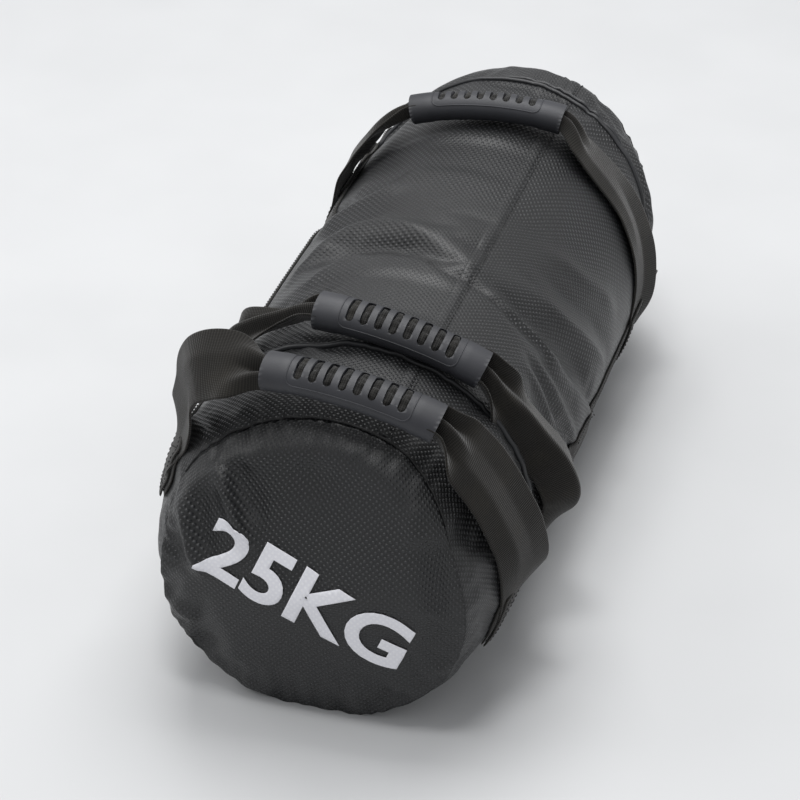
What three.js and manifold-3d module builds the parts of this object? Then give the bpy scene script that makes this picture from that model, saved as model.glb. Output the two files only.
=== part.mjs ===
// A filled training bag: a heavy tarpaulin cylinder lying on the floor, with four webbing handles.
// Millimetres, +Z up, the bag's length along Y. The floor is z = 0, under the middle of the bag.
import * as THREE from 'three';
import { mergeVertices } from 'three/addons/utils/BufferGeometryUtils.js';
import Module from 'manifold-3d';

const wasm = await Module();
wasm.setup();

// ---- The bag's own sizes -------------------------------------------------------------------
const BAG_RADIUS = 113.5; // the round bag before its filling settles
const SETTLE = 3.5; // the filling spreads the sides out and lowers the crown by this much
const FLAT_DEPTH = 4; // how much of the underside the floor presses flat
const NEAR_RIM = -272; // where the near end panel is sewn to its band
const FAR_RIM = 236;
const NEAR_SEAM = NEAR_RIM + 109; // middle of the piping between the near band and the centre panel
const FAR_SEAM = FAR_RIM - 46;
const NEAR_SHOULDER = 80; // length over which the near end draws in
const FAR_SHOULDER = 45;
const NEAR_DRAW = 13.5; // how much smaller the radius is at each rim
const FAR_DRAW = 6;
const NEAR_SLUMP = 25; // the crown leans back by this much at the near rim
const NEAR_SLUMP_LENGTH = 72;
const FAR_SLUMP = 62; // and by this much from the far piping on
const FAR_SLUMP_LENGTH = 130;
const SLUMP_CORE = 0.85; // layers further out than this share of the radius slump as one
const DOME = 8; // bulge of each end panel
const ROLL = 19.5; // degrees that the bag has rolled from handles-up

// ---- Materials' thicknesses and the gaps between separate pieces -----------------------------
const SKIN = 1.5; // coated tarpaulin
const PIPING_WIDTH = 6;
const PIPING_PROUD = 1.2;
const WADDING = 7;
const LINER = 0.8;
const WEBBING = 2;
const GAP = 0.4; // between two pieces that touch on the real bag
const LAYER_GAP = 2; // between nested layers inside

// ---- Webbing on the skin ---------------------------------------------------------------------
const SIDE_STRAP_WIDTH = 38;
const SIDE_STRAP_START = NEAR_RIM + 36;
const SIDE_STRAP_END = FAR_RIM - 2;
const ANCHOR_HEIGHT = 44; // sewn length of a handle's webbing, round the bag
const STRAP_WIDTH = 50; // handle webbing laid flat
const SEAM_FLAP_WIDTH = 9; // folded edge of the lengthwise seam
const SEAM_FLAP = 1.2;
const SEAM_END_GAP = 6; // the flap stops short of a cross seam or rim

// ---- Handles ---------------------------------------------------------------------------------
const GRIP_LENGTH = 116;
const GRIP_WIDTH = 28;
const GRIP_HEIGHT = 21.5;
const GRIP_WALL = 3;
const GRIP_ARCH_RADIUS = 250;
const GRIP_GAP = 1.4; // between a lying grip and the crown
const CROWN_LEAN = 14; // the furthest that a grip lies over to either side on the crown
const CORE_GAP = 0.5; // between the sleeve's bore and the rolled webbing in it
const SLOTS = 8;
const SLOT_PITCH = 9.6;
const SLOT_WIDTH = 5.6;
const SLOT_LENGTH = 21;
const BUNDLE_WIDTH = 24; // webbing gathered where it enters the sleeve
const FLARE_LENGTH = 34; // and where it has opened to its full width
const LEG_STAND_OFF = 9.8; // middle of the webbing above the skin at its sewn end

// ---- Filling ---------------------------------------------------------------------------------
const POUCHES = 3;
const POUCH_GAP = 5;
const POUCH_ROUND = 22; // how far a pouch's ends round off
const NECK_RADIUS = 16;
const NECK_LENGTH = 12;
const TIE_THICKNESS = 2;
const TIE_WIDTH = 4;

// ---- How finely the round shapes are cut -----------------------------------------------------
const ROUND_STEPS = 24;
const STATION = 56; // spacing of the cross sections along the bag

// Where each handle is sewn on, how it lies, and how its webbing stands off the skin on its way
// down: pairs of [angle round the bag in degrees, stand-off], from the grip to the sewn end.
const HANDLES = [
  {
    name: 'near', y: NEAR_RIM + 64, lean: 11.5, gripAngle: 82, slack: 0,
    right: [[43, 15], [32, 12], [20, 10], [8, 11], [-5, 11]],
    left: [[119, 33], [130, 36], [140, 22], [150, 13]],
  },
  {
    name: 'middle', y: NEAR_SEAM + 38, lean: 14, gripAngle: 78, slack: 0,
    right: [[38, 12], [26, 12], [14, 18], [3, 20], [-6, 13]],
    left: [[119, 19], [130, 22], [140, 18], [150, 13]],
  },
  {
    name: 'far', y: FAR_SEAM - 42, lean: -14, gripAngle: 92, slack: 0,
    right: [[53, 12], [41, 10], [27, 10], [12, 10], [-4, 10]],
    left: [[128, 20], [139, 17], [150, 12]],
  },
  {
    name: 'end', y: FAR_RIM - 35, lean: -120, gripAngle: 80, slack: 29,
    right: [[44, 26], [32, 20], [20, 15], [8, 12], [-5, 11]],
    left: [[116, 26], [128, 22], [140, 17], [151, 13]],
  },
];

// ---- Materials -------------------------------------------------------------------------------
const material = (color, roughness) => new THREE.MeshStandardMaterial({ color, roughness, metalness: 0 });
const TARPAULIN = material(0x222325, 0.5);
const WEB = material(0x2e2c2a, 0.9);
const RUBBER = material(0x36373b, 0.6);
const FLEECE = material(0x9a958a, 1);
const FILM = material(0xb9bcb6, 0.4);
const SAND = material(0xb59a6e, 1);
const NYLON = material(0xe4e2da, 0.5);

const bag = new THREE.Group();
const radians = THREE.MathUtils.degToRad;
const right = radians(-ROLL); // angle of the right side strap, round the bag
const left = radians(180 - ROLL);
const top = radians(90 - ROLL);

// ---- Solids ----------------------------------------------------------------------------------

// Gives a geometry shared corners, drops collapsed triangles and turns its faces outwards.
function closed(geometry) {
  geometry.deleteAttribute('normal');
  geometry.deleteAttribute('uv');
  const merged = mergeVertices(geometry, 1e-3);
  const place = merged.attributes.position;
  const corner = (i) => new THREE.Vector3().fromBufferAttribute(place, i);
  const faces = [];
  let volume = 0;
  for (let i = 0; i < merged.index.count; i += 3) {
    const [a, b, c] = [0, 1, 2].map((k) => merged.index.getX(i + k));
    if (a === b || b === c || c === a) continue;
    faces.push([a, b, c]);
    volume += corner(a).dot(corner(b).cross(corner(c)));
  }
  const wound = volume < 0 ? faces.map(([a, b, c]) => [a, c, b]) : faces;
  merged.setIndex(wound.flat());
  merged.computeVertexNormals();
  return merged;
}

function solid(geometry) {
  const ready = closed(geometry);
  return new wasm.Manifold(new wasm.Mesh({
    numProp: 3,
    vertProperties: new Float32Array(ready.attributes.position.array),
    triVerts: new Uint32Array(ready.index.array),
  }));
}

function fromSolid(shape) {
  const mesh = shape.getMesh();
  const geometry = new THREE.BufferGeometry();
  geometry.setAttribute('position', new THREE.BufferAttribute(mesh.vertProperties, 3));
  geometry.setIndex(new THREE.BufferAttribute(mesh.triVerts, 1));
  geometry.computeVertexNormals();
  return geometry;
}

function add(group, name, geometry, finish) {
  const mesh = new THREE.Mesh(geometry, finish);
  mesh.name = name;
  group.add(mesh);
  return mesh;
}

// ---- The settled shape -----------------------------------------------------------------------

const share = (value) => THREE.MathUtils.clamp(value, 0, 1);

// The skin's radius at a place along the bag: full in the middle, drawn in towards both rims.
function skinRadius(y) {
  const near = share((NEAR_RIM + NEAR_SHOULDER - y) / NEAR_SHOULDER);
  const far = share((y - FAR_RIM + FAR_SHOULDER) / FAR_SHOULDER);
  return BAG_RADIUS - NEAR_DRAW * near ** 2 - FAR_DRAW * far ** 2;
}

// How far back the crown has slumped there, from the near end's fall and from the far end's.
function slump(y) {
  const near = share((NEAR_RIM + NEAR_SLUMP_LENGTH - y) / NEAR_SLUMP_LENGTH);
  const far = share((y - FAR_SEAM + FAR_SLUMP_LENGTH) / FAR_SLUMP_LENGTH);
  return [NEAR_SLUMP * near, FAR_SLUMP * far];
}

const spread = SETTLE / BAG_RADIUS;
const centreHeight = (y) => skinRadius(y) * (1 - spread) - FLAT_DEPTH;

// Takes a point of the straight, round bag to where it rests: wider, lower and flat underneath.
function settle(radius, angle, y) {
  const skin = skinRadius(y);
  const rise = radius * (1 - spread) * Math.sin(angle);
  const depth = Math.max(skin - radius, 0);
  const crown = Math.max(Math.sin(angle), 0);
  const [near, far] = slump(y);
  const fallen = (near * crown ** 2 + far * crown) * share(radius / (skin * SLUMP_CORE));
  return new THREE.Vector3(
    radius * (1 + spread) * Math.cos(angle),
    y + fallen,
    Math.max(centreHeight(y) + rise, depth),
  );
}

// Moves each corner of a geometry by a rule.
function bend(geometry, rule) {
  const place = geometry.attributes.position;
  for (let i = 0; i < place.count; i += 1) {
    const to = rule(new THREE.Vector3().fromBufferAttribute(place, i));
    place.setXYZ(i, to.x, to.y, to.z);
  }
  return geometry;
}

// The places along the bag where nested layers all have a cross section: a regular spacing, both
// edges of each piping, where each slump begins, and part of the way up each shoulder.
function stations(from, to) {
  const edges = [NEAR_SEAM, FAR_SEAM].flatMap((y) => [y - PIPING_WIDTH / 2, y + PIPING_WIDTH / 2]);
  const slumps = [NEAR_RIM + NEAR_SLUMP_LENGTH, FAR_SEAM - FAR_SLUMP_LENGTH];
  const shoulders = [NEAR_RIM + NEAR_SHOULDER / 4, FAR_RIM - FAR_SHOULDER / 4];
  const count = Math.round((FAR_RIM - NEAR_RIM) / STATION);
  const pitch = (FAR_RIM - NEAR_RIM) / count;
  const regular = Array.from({ length: count }, (_, i) => NEAR_RIM + i * pitch);
  const places = [...edges, ...slumps, ...shoulders, ...regular];
  const inside = places.filter((y) => y > from + 1 && y < to - 1);
  return [from, ...inside.sort((a, b) => a - b), to];
}

// A closed outline of [radius, y] pairs, turned round the bag's length and settled.
function revolve(outline) {
  const points = outline.map(([radius, y]) => new THREE.Vector2(radius, y));
  const turned = new THREE.LatheGeometry(points, ROUND_STEPS);
  return closed(bend(turned, (p) => settle(Math.hypot(p.x, p.z), Math.atan2(p.z, p.x), p.y)));
}

// A tube wall between two depths under the skin.
function tube(from, to, outer, inner) {
  const places = stations(from, to);
  const outside = places.map((y) => [skinRadius(y) - outer, y]);
  const inside = places.map((y) => [skinRadius(y) - inner, y]).reverse();
  return revolve([...outside, ...inside, outside[0]]);
}

// A domed disc that closes an end. Its bulge points along the sign of `way`.
function disc(y, radius, way, thickness) {
  const rings = [0, 0.35, 0.65, 0.88, 1];
  const face = (offset) => rings.map((r) => [r * radius, y + way * (DOME * (1 - r * r) + offset)]);
  return revolve([...face(0), ...face(-thickness).reverse()]);
}

// A strip laid over the skin: centred on an angle, from one place along the bag to another.
function strip(angle, width, from, to, inner, outer, acrossSteps) {
  const places = stations(from, to);
  const last = places.length - 1;
  const box = new THREE.BoxGeometry(1, 1, 1, acrossSteps, last, 1);
  return closed(bend(box, (p) => {
    const y = places[Math.round((p.y + 0.5) * last)];
    const height = inner + (p.z + 0.5) * (outer - inner);
    return settle(skinRadius(y) + height, angle + (p.x * width) / BAG_RADIUS, y);
  }));
}

// ---- Outer shell -----------------------------------------------------------------------------

function addShell() {
  const half = PIPING_WIDTH / 2;
  add(bag, 'near_end_band', tube(NEAR_RIM, NEAR_SEAM - half - GAP, 0, SKIN), TARPAULIN);
  add(bag, 'centre_panel', tube(NEAR_SEAM + half + GAP, FAR_SEAM - half - GAP, 0, SKIN), TARPAULIN);
  add(bag, 'far_end_band', tube(FAR_SEAM + half + GAP, FAR_RIM, 0, SKIN), TARPAULIN);
  add(bag, 'near_piping', tube(NEAR_SEAM - half, NEAR_SEAM + half, -PIPING_PROUD, SKIN), TARPAULIN);
  add(bag, 'far_piping', tube(FAR_SEAM - half, FAR_SEAM + half, -PIPING_PROUD, SKIN), TARPAULIN);
  const nearFace = disc(NEAR_RIM - GAP, skinRadius(NEAR_RIM), -1, SKIN);
  add(bag, 'near_end_panel', nearFace.translate(0, -SKIN, 0), TARPAULIN);
  const farFace = disc(FAR_RIM + GAP, skinRadius(FAR_RIM), 1, SKIN);
  add(bag, 'far_end_panel', farFace.translate(0, SKIN, 0), TARPAULIN);
}

function addTopSeam() {
  const half = PIPING_WIDTH / 2 + SEAM_END_GAP;
  const flap = (from, to) => strip(top, SEAM_FLAP_WIDTH, from, to, GAP, GAP + SEAM_FLAP, 2);
  add(bag, 'near_band_seam', flap(NEAR_RIM + SEAM_END_GAP, NEAR_SEAM - half), TARPAULIN);
  add(bag, 'centre_seam', flap(NEAR_SEAM + half, FAR_SEAM - half), TARPAULIN);
  add(bag, 'far_band_seam', flap(FAR_SEAM + half, FAR_RIM - SEAM_END_GAP), TARPAULIN);
}

// The side straps run over the piping, so they lie just proud of it.
const strapBase = PIPING_PROUD + GAP;
const anchorBase = strapBase + WEBBING + GAP;

function addSideStraps() {
  for (const [side, angle] of [['right', right], ['left', left]]) {
    const lay = [SIDE_STRAP_START, SIDE_STRAP_END, strapBase, strapBase + WEBBING];
    add(bag, `${side}_side_strap`, strip(angle, SIDE_STRAP_WIDTH, ...lay, 4), WEB);
    for (const handle of HANDLES) {
      const half = STRAP_WIDTH / 2;
      const sewn = [handle.y - half, handle.y + half, anchorBase, anchorBase + WEBBING];
      add(bag, `${handle.name}_anchor_${side}`, strip(angle, ANCHOR_HEIGHT, ...sewn, 4), WEB);
    }
  }
}

// ---- Filling ---------------------------------------------------------------------------------

const waddingDepth = SKIN + LAYER_GAP;
const linerDepth = waddingDepth + WADDING + LAYER_GAP;
const sandDepth = linerDepth + LINER + LAYER_GAP;

function addWadding() {
  const from = NEAR_RIM + LAYER_GAP;
  const to = FAR_RIM - LAYER_GAP;
  add(bag, 'wadding_sleeve', tube(from, to, waddingDepth, waddingDepth + WADDING), FLEECE);
  const cap = (y) => skinRadius(y) - linerDepth - NEAR_DRAW / 4;
  const flat = (y, way) => {
    const radius = cap(y);
    return revolve([[0, y], [radius, y], [radius, y + way * WADDING], [0, y + way * WADDING]]);
  };
  add(bag, 'wadding_cap_near', flat(from, 1), FLEECE);
  add(bag, 'wadding_cap_far', flat(to, -1), FLEECE);
}

// One pouch's outline from its closed end to its neck, at a depth under the skin.
function pouchSide(from, to, depth, inset) {
  const radius = (y) => skinRadius(y) - depth;
  const shoulder = to - inset;
  const middle = stations(from + POUCH_ROUND, shoulder - POUCH_ROUND).map((y) => [radius(y), y]);
  return [
    [0, from + inset],
    [radius(from) - POUCH_ROUND, from + inset],
    ...middle,
    [radius(shoulder) - POUCH_ROUND, shoulder],
  ];
}

function addPouch(index, from, to) {
  const body = to - NECK_LENGTH;
  const neckInside = NECK_RADIUS - LINER;
  const outside = [...pouchSide(from, body, linerDepth, 0), [NECK_RADIUS, body], [NECK_RADIUS, to]];
  const inside = [...pouchSide(from, body, linerDepth + LINER, LINER), [neckInside, body - LINER]];
  const wall = [...outside, [neckInside, to], ...inside.reverse()];
  add(bag, `sand_pouch_${index}`, revolve(wall), FILM);
  const inset = LINER + LAYER_GAP;
  const sandTop = body - inset;
  const fill = [...pouchSide(from, body, sandDepth, inset), [0, sandTop]];
  add(bag, `sand_fill_${index}`, revolve(fill), SAND);
  const tieEnd = body + LAYER_GAP + TIE_WIDTH;
  const tieRadius = NECK_RADIUS + GAP;
  const ring = [
    [tieRadius, tieEnd - TIE_WIDTH],
    [tieRadius + TIE_THICKNESS, tieEnd - TIE_WIDTH],
    [tieRadius + TIE_THICKNESS, tieEnd],
    [tieRadius, tieEnd],
    [tieRadius, tieEnd - TIE_WIDTH],
  ];
  add(bag, `pouch_tie_${index}`, revolve(ring), NYLON);
}

function addPouches() {
  const from = NEAR_RIM + 2 * LAYER_GAP + WADDING;
  const to = FAR_RIM - 2 * LAYER_GAP - WADDING - POUCH_GAP;
  const pitch = (to - from + POUCH_GAP) / POUCHES;
  for (let i = 0; i < POUCHES; i += 1) {
    const start = from + i * pitch;
    addPouch(i + 1, start, start + pitch - POUCH_GAP);
  }
}

// ---- Handles ---------------------------------------------------------------------------------

// A point off the skin in the plane of a handle, measured from the middle of the handle's axis.
function standOff(y, degrees, distance) {
  const angle = radians(degrees);
  const wide = skinRadius(y) * (1 + spread);
  const high = skinRadius(y) * (1 - spread);
  const out = new THREE.Vector3(Math.cos(angle) / wide, 0, Math.sin(angle) / high).normalize();
  const skin = new THREE.Vector3(wide * Math.cos(angle), 0, high * Math.sin(angle));
  return skin.addScaledVector(out, distance);
}

// The arched line down the middle of a grip, crown at the origin.
class GripArch extends THREE.Curve {
  constructor(overrun) {
    super();
    this.sweep = (GRIP_LENGTH + 2 * overrun) / GRIP_ARCH_RADIUS;
  }

  getPoint(t, target = new THREE.Vector3()) {
    const angle = (t - 0.5) * this.sweep;
    const drop = GRIP_ARCH_RADIUS * (Math.cos(angle) - 1);
    return target.set(GRIP_ARCH_RADIUS * Math.sin(angle), 0, drop);
  }
}

const oval = (width, height, Kind) => {
  const path = new Kind();
  path.absellipse(0, 0, width / 2, height / 2, 0, 2 * Math.PI);
  return path;
};

const along = (shape, path, steps, curveSegments) => new THREE.ExtrudeGeometry(shape, {
  steps, curveSegments, extrudePath: path, bevelEnabled: false,
});

// A slot's cutter: a stadium across the grip, deep enough to reach the bore from outside.
function slotCutter(angle) {
  const half = SLOT_LENGTH / 2 - SLOT_WIDTH / 2;
  const outline = new THREE.Shape();
  outline.absarc(0, half, SLOT_WIDTH / 2, 0, Math.PI);
  outline.absarc(0, -half, SLOT_WIDTH / 2, Math.PI, 2 * Math.PI);
  const depth = GRIP_HEIGHT;
  const cutter = new THREE.ExtrudeGeometry(outline, { depth, curveSegments: 1, bevelEnabled: false });
  const turn = new THREE.Matrix4().makeRotationY(angle);
  cutter.translate(0, 0, GRIP_ARCH_RADIUS + GRIP_HEIGHT / 2 - GRIP_WALL - 1);
  cutter.applyMatrix4(turn);
  return cutter.translate(0, 0, -GRIP_ARCH_RADIUS);
}

function gripSleeve() {
  const section = oval(GRIP_WIDTH, GRIP_HEIGHT, THREE.Shape);
  section.holes.push(oval(GRIP_WIDTH - 2 * GRIP_WALL, GRIP_HEIGHT - 2 * GRIP_WALL, THREE.Path));
  let sleeve = solid(along(section, new GripArch(0), 7, 4));
  for (let i = 0; i < SLOTS; i += 1) {
    const angle = ((i - (SLOTS - 1) / 2) * SLOT_PITCH) / GRIP_ARCH_RADIUS;
    sleeve = sleeve.subtract(solid(slotCutter(angle)));
  }
  return fromSolid(sleeve);
}

function gripCore() {
  const thinner = 2 * (GRIP_WALL + CORE_GAP);
  const section = oval(GRIP_WIDTH - thinner, GRIP_HEIGHT - thinner, THREE.Shape);
  return closed(along(section, new GripArch(0), 7, 4));
}

// Webbing from a grip's end down to its sewn end, gathered at the top and flaring to full width.
function leg(points) {
  const route = new THREE.CatmullRomCurve3(points, false, 'centripetal');
  const section = new THREE.Shape();
  section.moveTo(-STRAP_WIDTH / 2, -WEBBING / 2);
  section.lineTo(STRAP_WIDTH / 2, -WEBBING / 2);
  section.lineTo(STRAP_WIDTH / 2, WEBBING / 2);
  section.lineTo(-STRAP_WIDTH / 2, WEBBING / 2);
  const ribbon = along(section, route, 14, 1);
  const start = points[0];
  return closed(bend(ribbon, (p) => {
    const opened = share(Math.hypot(p.x - start.x, p.z - start.z) / FLARE_LENGTH);
    p.y *= THREE.MathUtils.lerp(BUNDLE_WIDTH / STRAP_WIDTH, 1, opened);
    return p;
  }));
}

function addHandle({ name, y, lean, gripAngle, slack, right: rightRoute, left: leftRoute }) {
  const handle = new THREE.Group();
  handle.position.set(0, y, centreHeight(y));
  const hinge = standOff(y, -ROLL, LEG_STAND_OFF).normalize();
  handle.quaternion.setFromAxisAngle(hinge, radians(lean));
  bag.add(handle);

  const crown = BAG_RADIUS * (1 - spread);
  const reach = (crown + GRIP_GAP + GRIP_HEIGHT / 2) / Math.cos(radians(CROWN_LEAN)) + slack;
  const middle = standOff(y, gripAngle, reach - skinRadius(y) * (1 - spread));
  const tilt = radians(90 - gripAngle);
  for (const [part, shape, finish] of [['grip', gripSleeve(), RUBBER], ['grip_core', gripCore(), WEB]]) {
    const mesh = add(handle, `${name}_${part}`, shape, finish);
    mesh.position.copy(middle);
    mesh.rotation.y = tilt;
  }

  for (const [side, way, route, sewn] of [
    ['right', 1, rightRoute, -ROLL], ['left', -1, leftRoute, 180 - ROLL],
  ]) {
    const end = new GripArch(GAP + WEBBING).getPoint(way > 0 ? 1 : 0);
    end.applyAxisAngle(new THREE.Vector3(0, 1, 0), tilt).add(middle);
    const path = route.map(([degrees, distance]) => standOff(y, degrees, distance));
    const last = standOff(y, sewn, LEG_STAND_OFF);
    add(handle, `${name}_strap_${side}`, leg([end, ...path, last]), WEB);
  }
}

addShell();
addTopSeam();
addSideStraps();
addWadding();
addPouches();
for (const handle of HANDLES) addHandle(handle);

export default bag;
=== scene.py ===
# %% [markdown]
# # A filled training bag
#
# The bag is a heavy cylinder of beaded tarpaulin, full of sand, lying on a pale floor. Four loops of
# webbing with rubber grips are sewn to it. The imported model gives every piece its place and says
# what moves: each handle swings about the line through its two sewn ends. This lesson puts the
# finished surfaces around that model.

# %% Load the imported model
import math

import bmesh
import bpy
import numpy as np
from mathutils import Matrix, Vector, noise
from mathutils.bvhtree import BVHTree


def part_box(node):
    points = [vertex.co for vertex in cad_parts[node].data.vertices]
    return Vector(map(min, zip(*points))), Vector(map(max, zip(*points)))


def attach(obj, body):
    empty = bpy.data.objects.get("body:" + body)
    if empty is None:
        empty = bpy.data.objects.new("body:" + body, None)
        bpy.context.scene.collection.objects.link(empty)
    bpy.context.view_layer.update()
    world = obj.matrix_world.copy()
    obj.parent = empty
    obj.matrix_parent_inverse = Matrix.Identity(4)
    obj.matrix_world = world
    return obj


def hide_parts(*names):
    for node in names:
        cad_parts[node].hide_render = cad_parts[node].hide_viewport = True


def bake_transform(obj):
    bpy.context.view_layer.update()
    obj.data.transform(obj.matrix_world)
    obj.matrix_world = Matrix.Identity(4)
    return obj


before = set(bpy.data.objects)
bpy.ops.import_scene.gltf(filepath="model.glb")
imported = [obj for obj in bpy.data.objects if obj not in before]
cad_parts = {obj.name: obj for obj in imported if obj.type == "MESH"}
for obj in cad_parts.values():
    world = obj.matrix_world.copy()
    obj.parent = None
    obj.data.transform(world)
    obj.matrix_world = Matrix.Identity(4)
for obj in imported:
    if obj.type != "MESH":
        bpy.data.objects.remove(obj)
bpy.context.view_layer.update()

# %% [markdown]
# ## The camera
#
# It looks down on the near, marked end, a little from the right. A long lens from nearly two metres
# keeps the far end almost as large as the near one.

# %% Camera
MM = 0.001
scene = bpy.context.scene
scene.view_settings.view_transform = "Standard"
AIM = Vector((-25.9, 12.6, 61.2)) * MM
CAMERA_AZIMUTH = math.radians(16.76)
CAMERA_ELEVATION = math.radians(32.73)
CAMERA_DISTANCE = 1.86

lens = bpy.data.cameras.new("camera")
lens.lens = 112.8
lens.sensor_width = 36
camera = bpy.data.objects.new("camera", lens)
scene.collection.objects.link(camera)
scene.camera = camera


def look_from(azimuth, elevation, distance, target):
    """A place on a sphere round a target, azimuth 0 being in front of it on -Y."""
    level = math.cos(elevation)
    way = Vector((math.sin(azimuth) * level, -math.cos(azimuth) * level, math.sin(elevation)))
    return target + distance * way


def turn_towards(thing, target):
    thing.rotation_euler = (target - thing.location).to_track_quat("-Z", "Y").to_euler()


camera.location = look_from(CAMERA_AZIMUTH, CAMERA_ELEVATION, CAMERA_DISTANCE, AIM)
turn_towards(camera, AIM)
print("camera at", [round(v, 3) for v in camera.location])

# %% [markdown]
# ## Sizes
#
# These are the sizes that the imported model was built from, in millimetres. The skin is a cylinder
# that has settled: wider than high, flat where it rests, with both ends' crowns slumped backwards.

# %% Sizes of the bag and its fittings
BAG_RADIUS = 113.5
SETTLE = 3.5
FLAT_DEPTH = 4
NEAR_RIM, FAR_RIM = -272, 236
NEAR_SEAM, FAR_SEAM = NEAR_RIM + 109, FAR_RIM - 46
NEAR_SHOULDER, NEAR_DRAW = 80, 13.5
FAR_SHOULDER, FAR_DRAW = 45, 6
NEAR_SLUMP, NEAR_SLUMP_LENGTH = 25, 72
FAR_SLUMP, FAR_SLUMP_LENGTH = 62, 130
SLUMP_CORE, DOME, ROLL = 0.85, 8, 19.5
SIDE_STRAP_WIDTH, SIDE_STRAP_START, SIDE_STRAP_END = 38, NEAR_RIM + 36, FAR_RIM - 2
ANCHOR_HEIGHT, STRAP_WIDTH = 44, 50
GRIP_LENGTH, GRIP_WIDTH, GRIP_HEIGHT, GRIP_WALL, GRIP_ARCH_RADIUS = 116, 28, 21.5, 3, 250
GRIP_GAP, CROWN_LEAN = 1.4, 14
SLOTS, SLOT_PITCH, SLOT_WIDTH, SLOT_LENGTH = 8, 9.6, 5.6, 21
FLARE_LENGTH, LEG_STAND_OFF = 34, 9.8
RIGHT, LEFT, TOP = -ROLL, 180 - ROLL, 90 - ROLL
SPREAD = SETTLE / BAG_RADIUS


def share(value):
    return np.clip(value, 0, 1)


def ease(value):
    value = share(value)
    return value * value * (3 - 2 * value)


def skin_radius(y):
    near = share((NEAR_RIM + NEAR_SHOULDER - y) / NEAR_SHOULDER)
    far = share((y - FAR_RIM + FAR_SHOULDER) / FAR_SHOULDER)
    return BAG_RADIUS - NEAR_DRAW * near**2 - FAR_DRAW * far**2


def slump(y):
    near = share((NEAR_RIM + NEAR_SLUMP_LENGTH - y) / NEAR_SLUMP_LENGTH)
    far = share((y - FAR_SEAM + FAR_SLUMP_LENGTH) / FAR_SLUMP_LENGTH)
    return NEAR_SLUMP * near, FAR_SLUMP * far


def centre_height(y):
    return skin_radius(y) * (1 - SPREAD) - FLAT_DEPTH


def settle(radius, angle, y):
    """Where a point of the straight, round bag comes to rest, in metres. Angles in radians."""
    skin = skin_radius(y)
    crown = np.maximum(np.sin(angle), 0)
    near, far = slump(y)
    fallen = (near * crown**2 + far * crown) * share(radius / (skin * SLUMP_CORE))
    x = radius * (1 + SPREAD) * np.cos(angle)
    z = centre_height(y) + radius * (1 - SPREAD) * np.sin(angle)
    z = np.maximum(z, np.maximum(skin - radius, 0))
    return np.stack([x, y + fallen, z], axis=-1) * MM


# %% [markdown]
# ## Materials
#
# A few helpers keep the node trees short: one turns an sRGB hex value to linear, and one adds a
# node with its settings and links.

# %% Helpers for materials


def colour(hex_value):
    """An sRGB hex value as linear RGBA."""
    parts = [int(hex_value[i : i + 2], 16) / 255 for i in (1, 3, 5)]
    return tuple(c / 12.92 if c <= 0.04045 else ((c + 0.055) / 1.055) ** 2.4 for c in parts) + (1.0,)


def node(tree, kind, settings=None, links=None):
    """Adds a node: settings are its own properties, links are sockets' values or other outputs."""
    made = tree.nodes.new(kind)
    for key, value in (settings or {}).items():
        setattr(made, key, value)
    for key, value in (links or {}).items():
        socket = made.inputs[key]
        if isinstance(value, bpy.types.NodeSocket):
            tree.links.new(value, socket)
        else:
            socket.default_value = value
    return made


def start_material(name, **constants):
    """A material with one Principled shader, whose constant sockets are set directly."""
    material = bpy.data.materials.new(name)
    material.use_nodes = True
    tree = material.node_tree
    shader = tree.nodes["Principled BSDF"]
    for key, value in constants.items():
        shader.inputs[key.replace("_", " ")].default_value = value
    return material, tree, shader


def mix_colours(tree, factor, first, second):
    mixed = node(tree, "ShaderNodeMix", {"data_type": "RGBA"})
    for socket, value in ((mixed.inputs[0], factor), (mixed.inputs[6], first), (mixed.inputs[7], second)):
        if isinstance(value, bpy.types.NodeSocket):
            tree.links.new(value, socket)
        else:
            socket.default_value = value
    return mixed.outputs[2]


def spread_range(tree, value, low, high, to_low, to_high, smooth=False):
    settings = {"interpolation_type": "SMOOTHSTEP" if smooth else "LINEAR"}
    links = {"Value": value, "From Min": low, "From Max": high, "To Min": to_low, "To Max": to_high}
    return node(tree, "ShaderNodeMapRange", settings, links).outputs[0]


# %% [markdown]
# ## Tarpaulin
#
# The skin is PVC-coated polyester, calendered against a roller that leaves small round beads on a
# diamond grid. Each bead is a smooth dome, so a broad light gives it one soft glint, and the bead
# tops are also painted lighter than the ground between them, a painted glint. Two square grids of
# dots, the second set off by half a pitch both ways, make the diamonds. The pattern follows the
# piece's own UV map, which is in metres.

# %% Tarpaulin
BEAD_PITCH = 4.2 * MM


def bead_height(tree, pitch=BEAD_PITCH):
    """The height, 0 to 1, of beads on a diamond grid over the UV map."""
    place = node(tree, "ShaderNodeUVMap", {"uv_map": "lay"}).outputs[0]
    scaled = node(tree, "ShaderNodeVectorMath", {"operation": "SCALE"}, {0: place, "Scale": 1 / pitch})
    distances = []
    for offset in ((0, 0, 0), (0.5, 0.5, 0)):
        moved = node(tree, "ShaderNodeVectorMath", {"operation": "ADD"}, {0: scaled.outputs[0], 1: offset})
        cell = node(tree, "ShaderNodeVectorMath", {"operation": "FRACTION"}, {0: moved.outputs[0]})
        centred = node(tree, "ShaderNodeVectorMath", {"operation": "SUBTRACT"},
                       {0: cell.outputs[0], 1: (0.5, 0.5, 0)})
        length = node(tree, "ShaderNodeVectorMath", {"operation": "LENGTH"}, {0: centred.outputs[0]})
        distances.append(length.outputs["Value"])
    nearest = node(tree, "ShaderNodeMath", {"operation": "MINIMUM"}, {0: distances[0], 1: distances[1]})
    return spread_range(tree, nearest.outputs[0], 0.31, 0.06, 0, 1, smooth=True)


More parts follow.
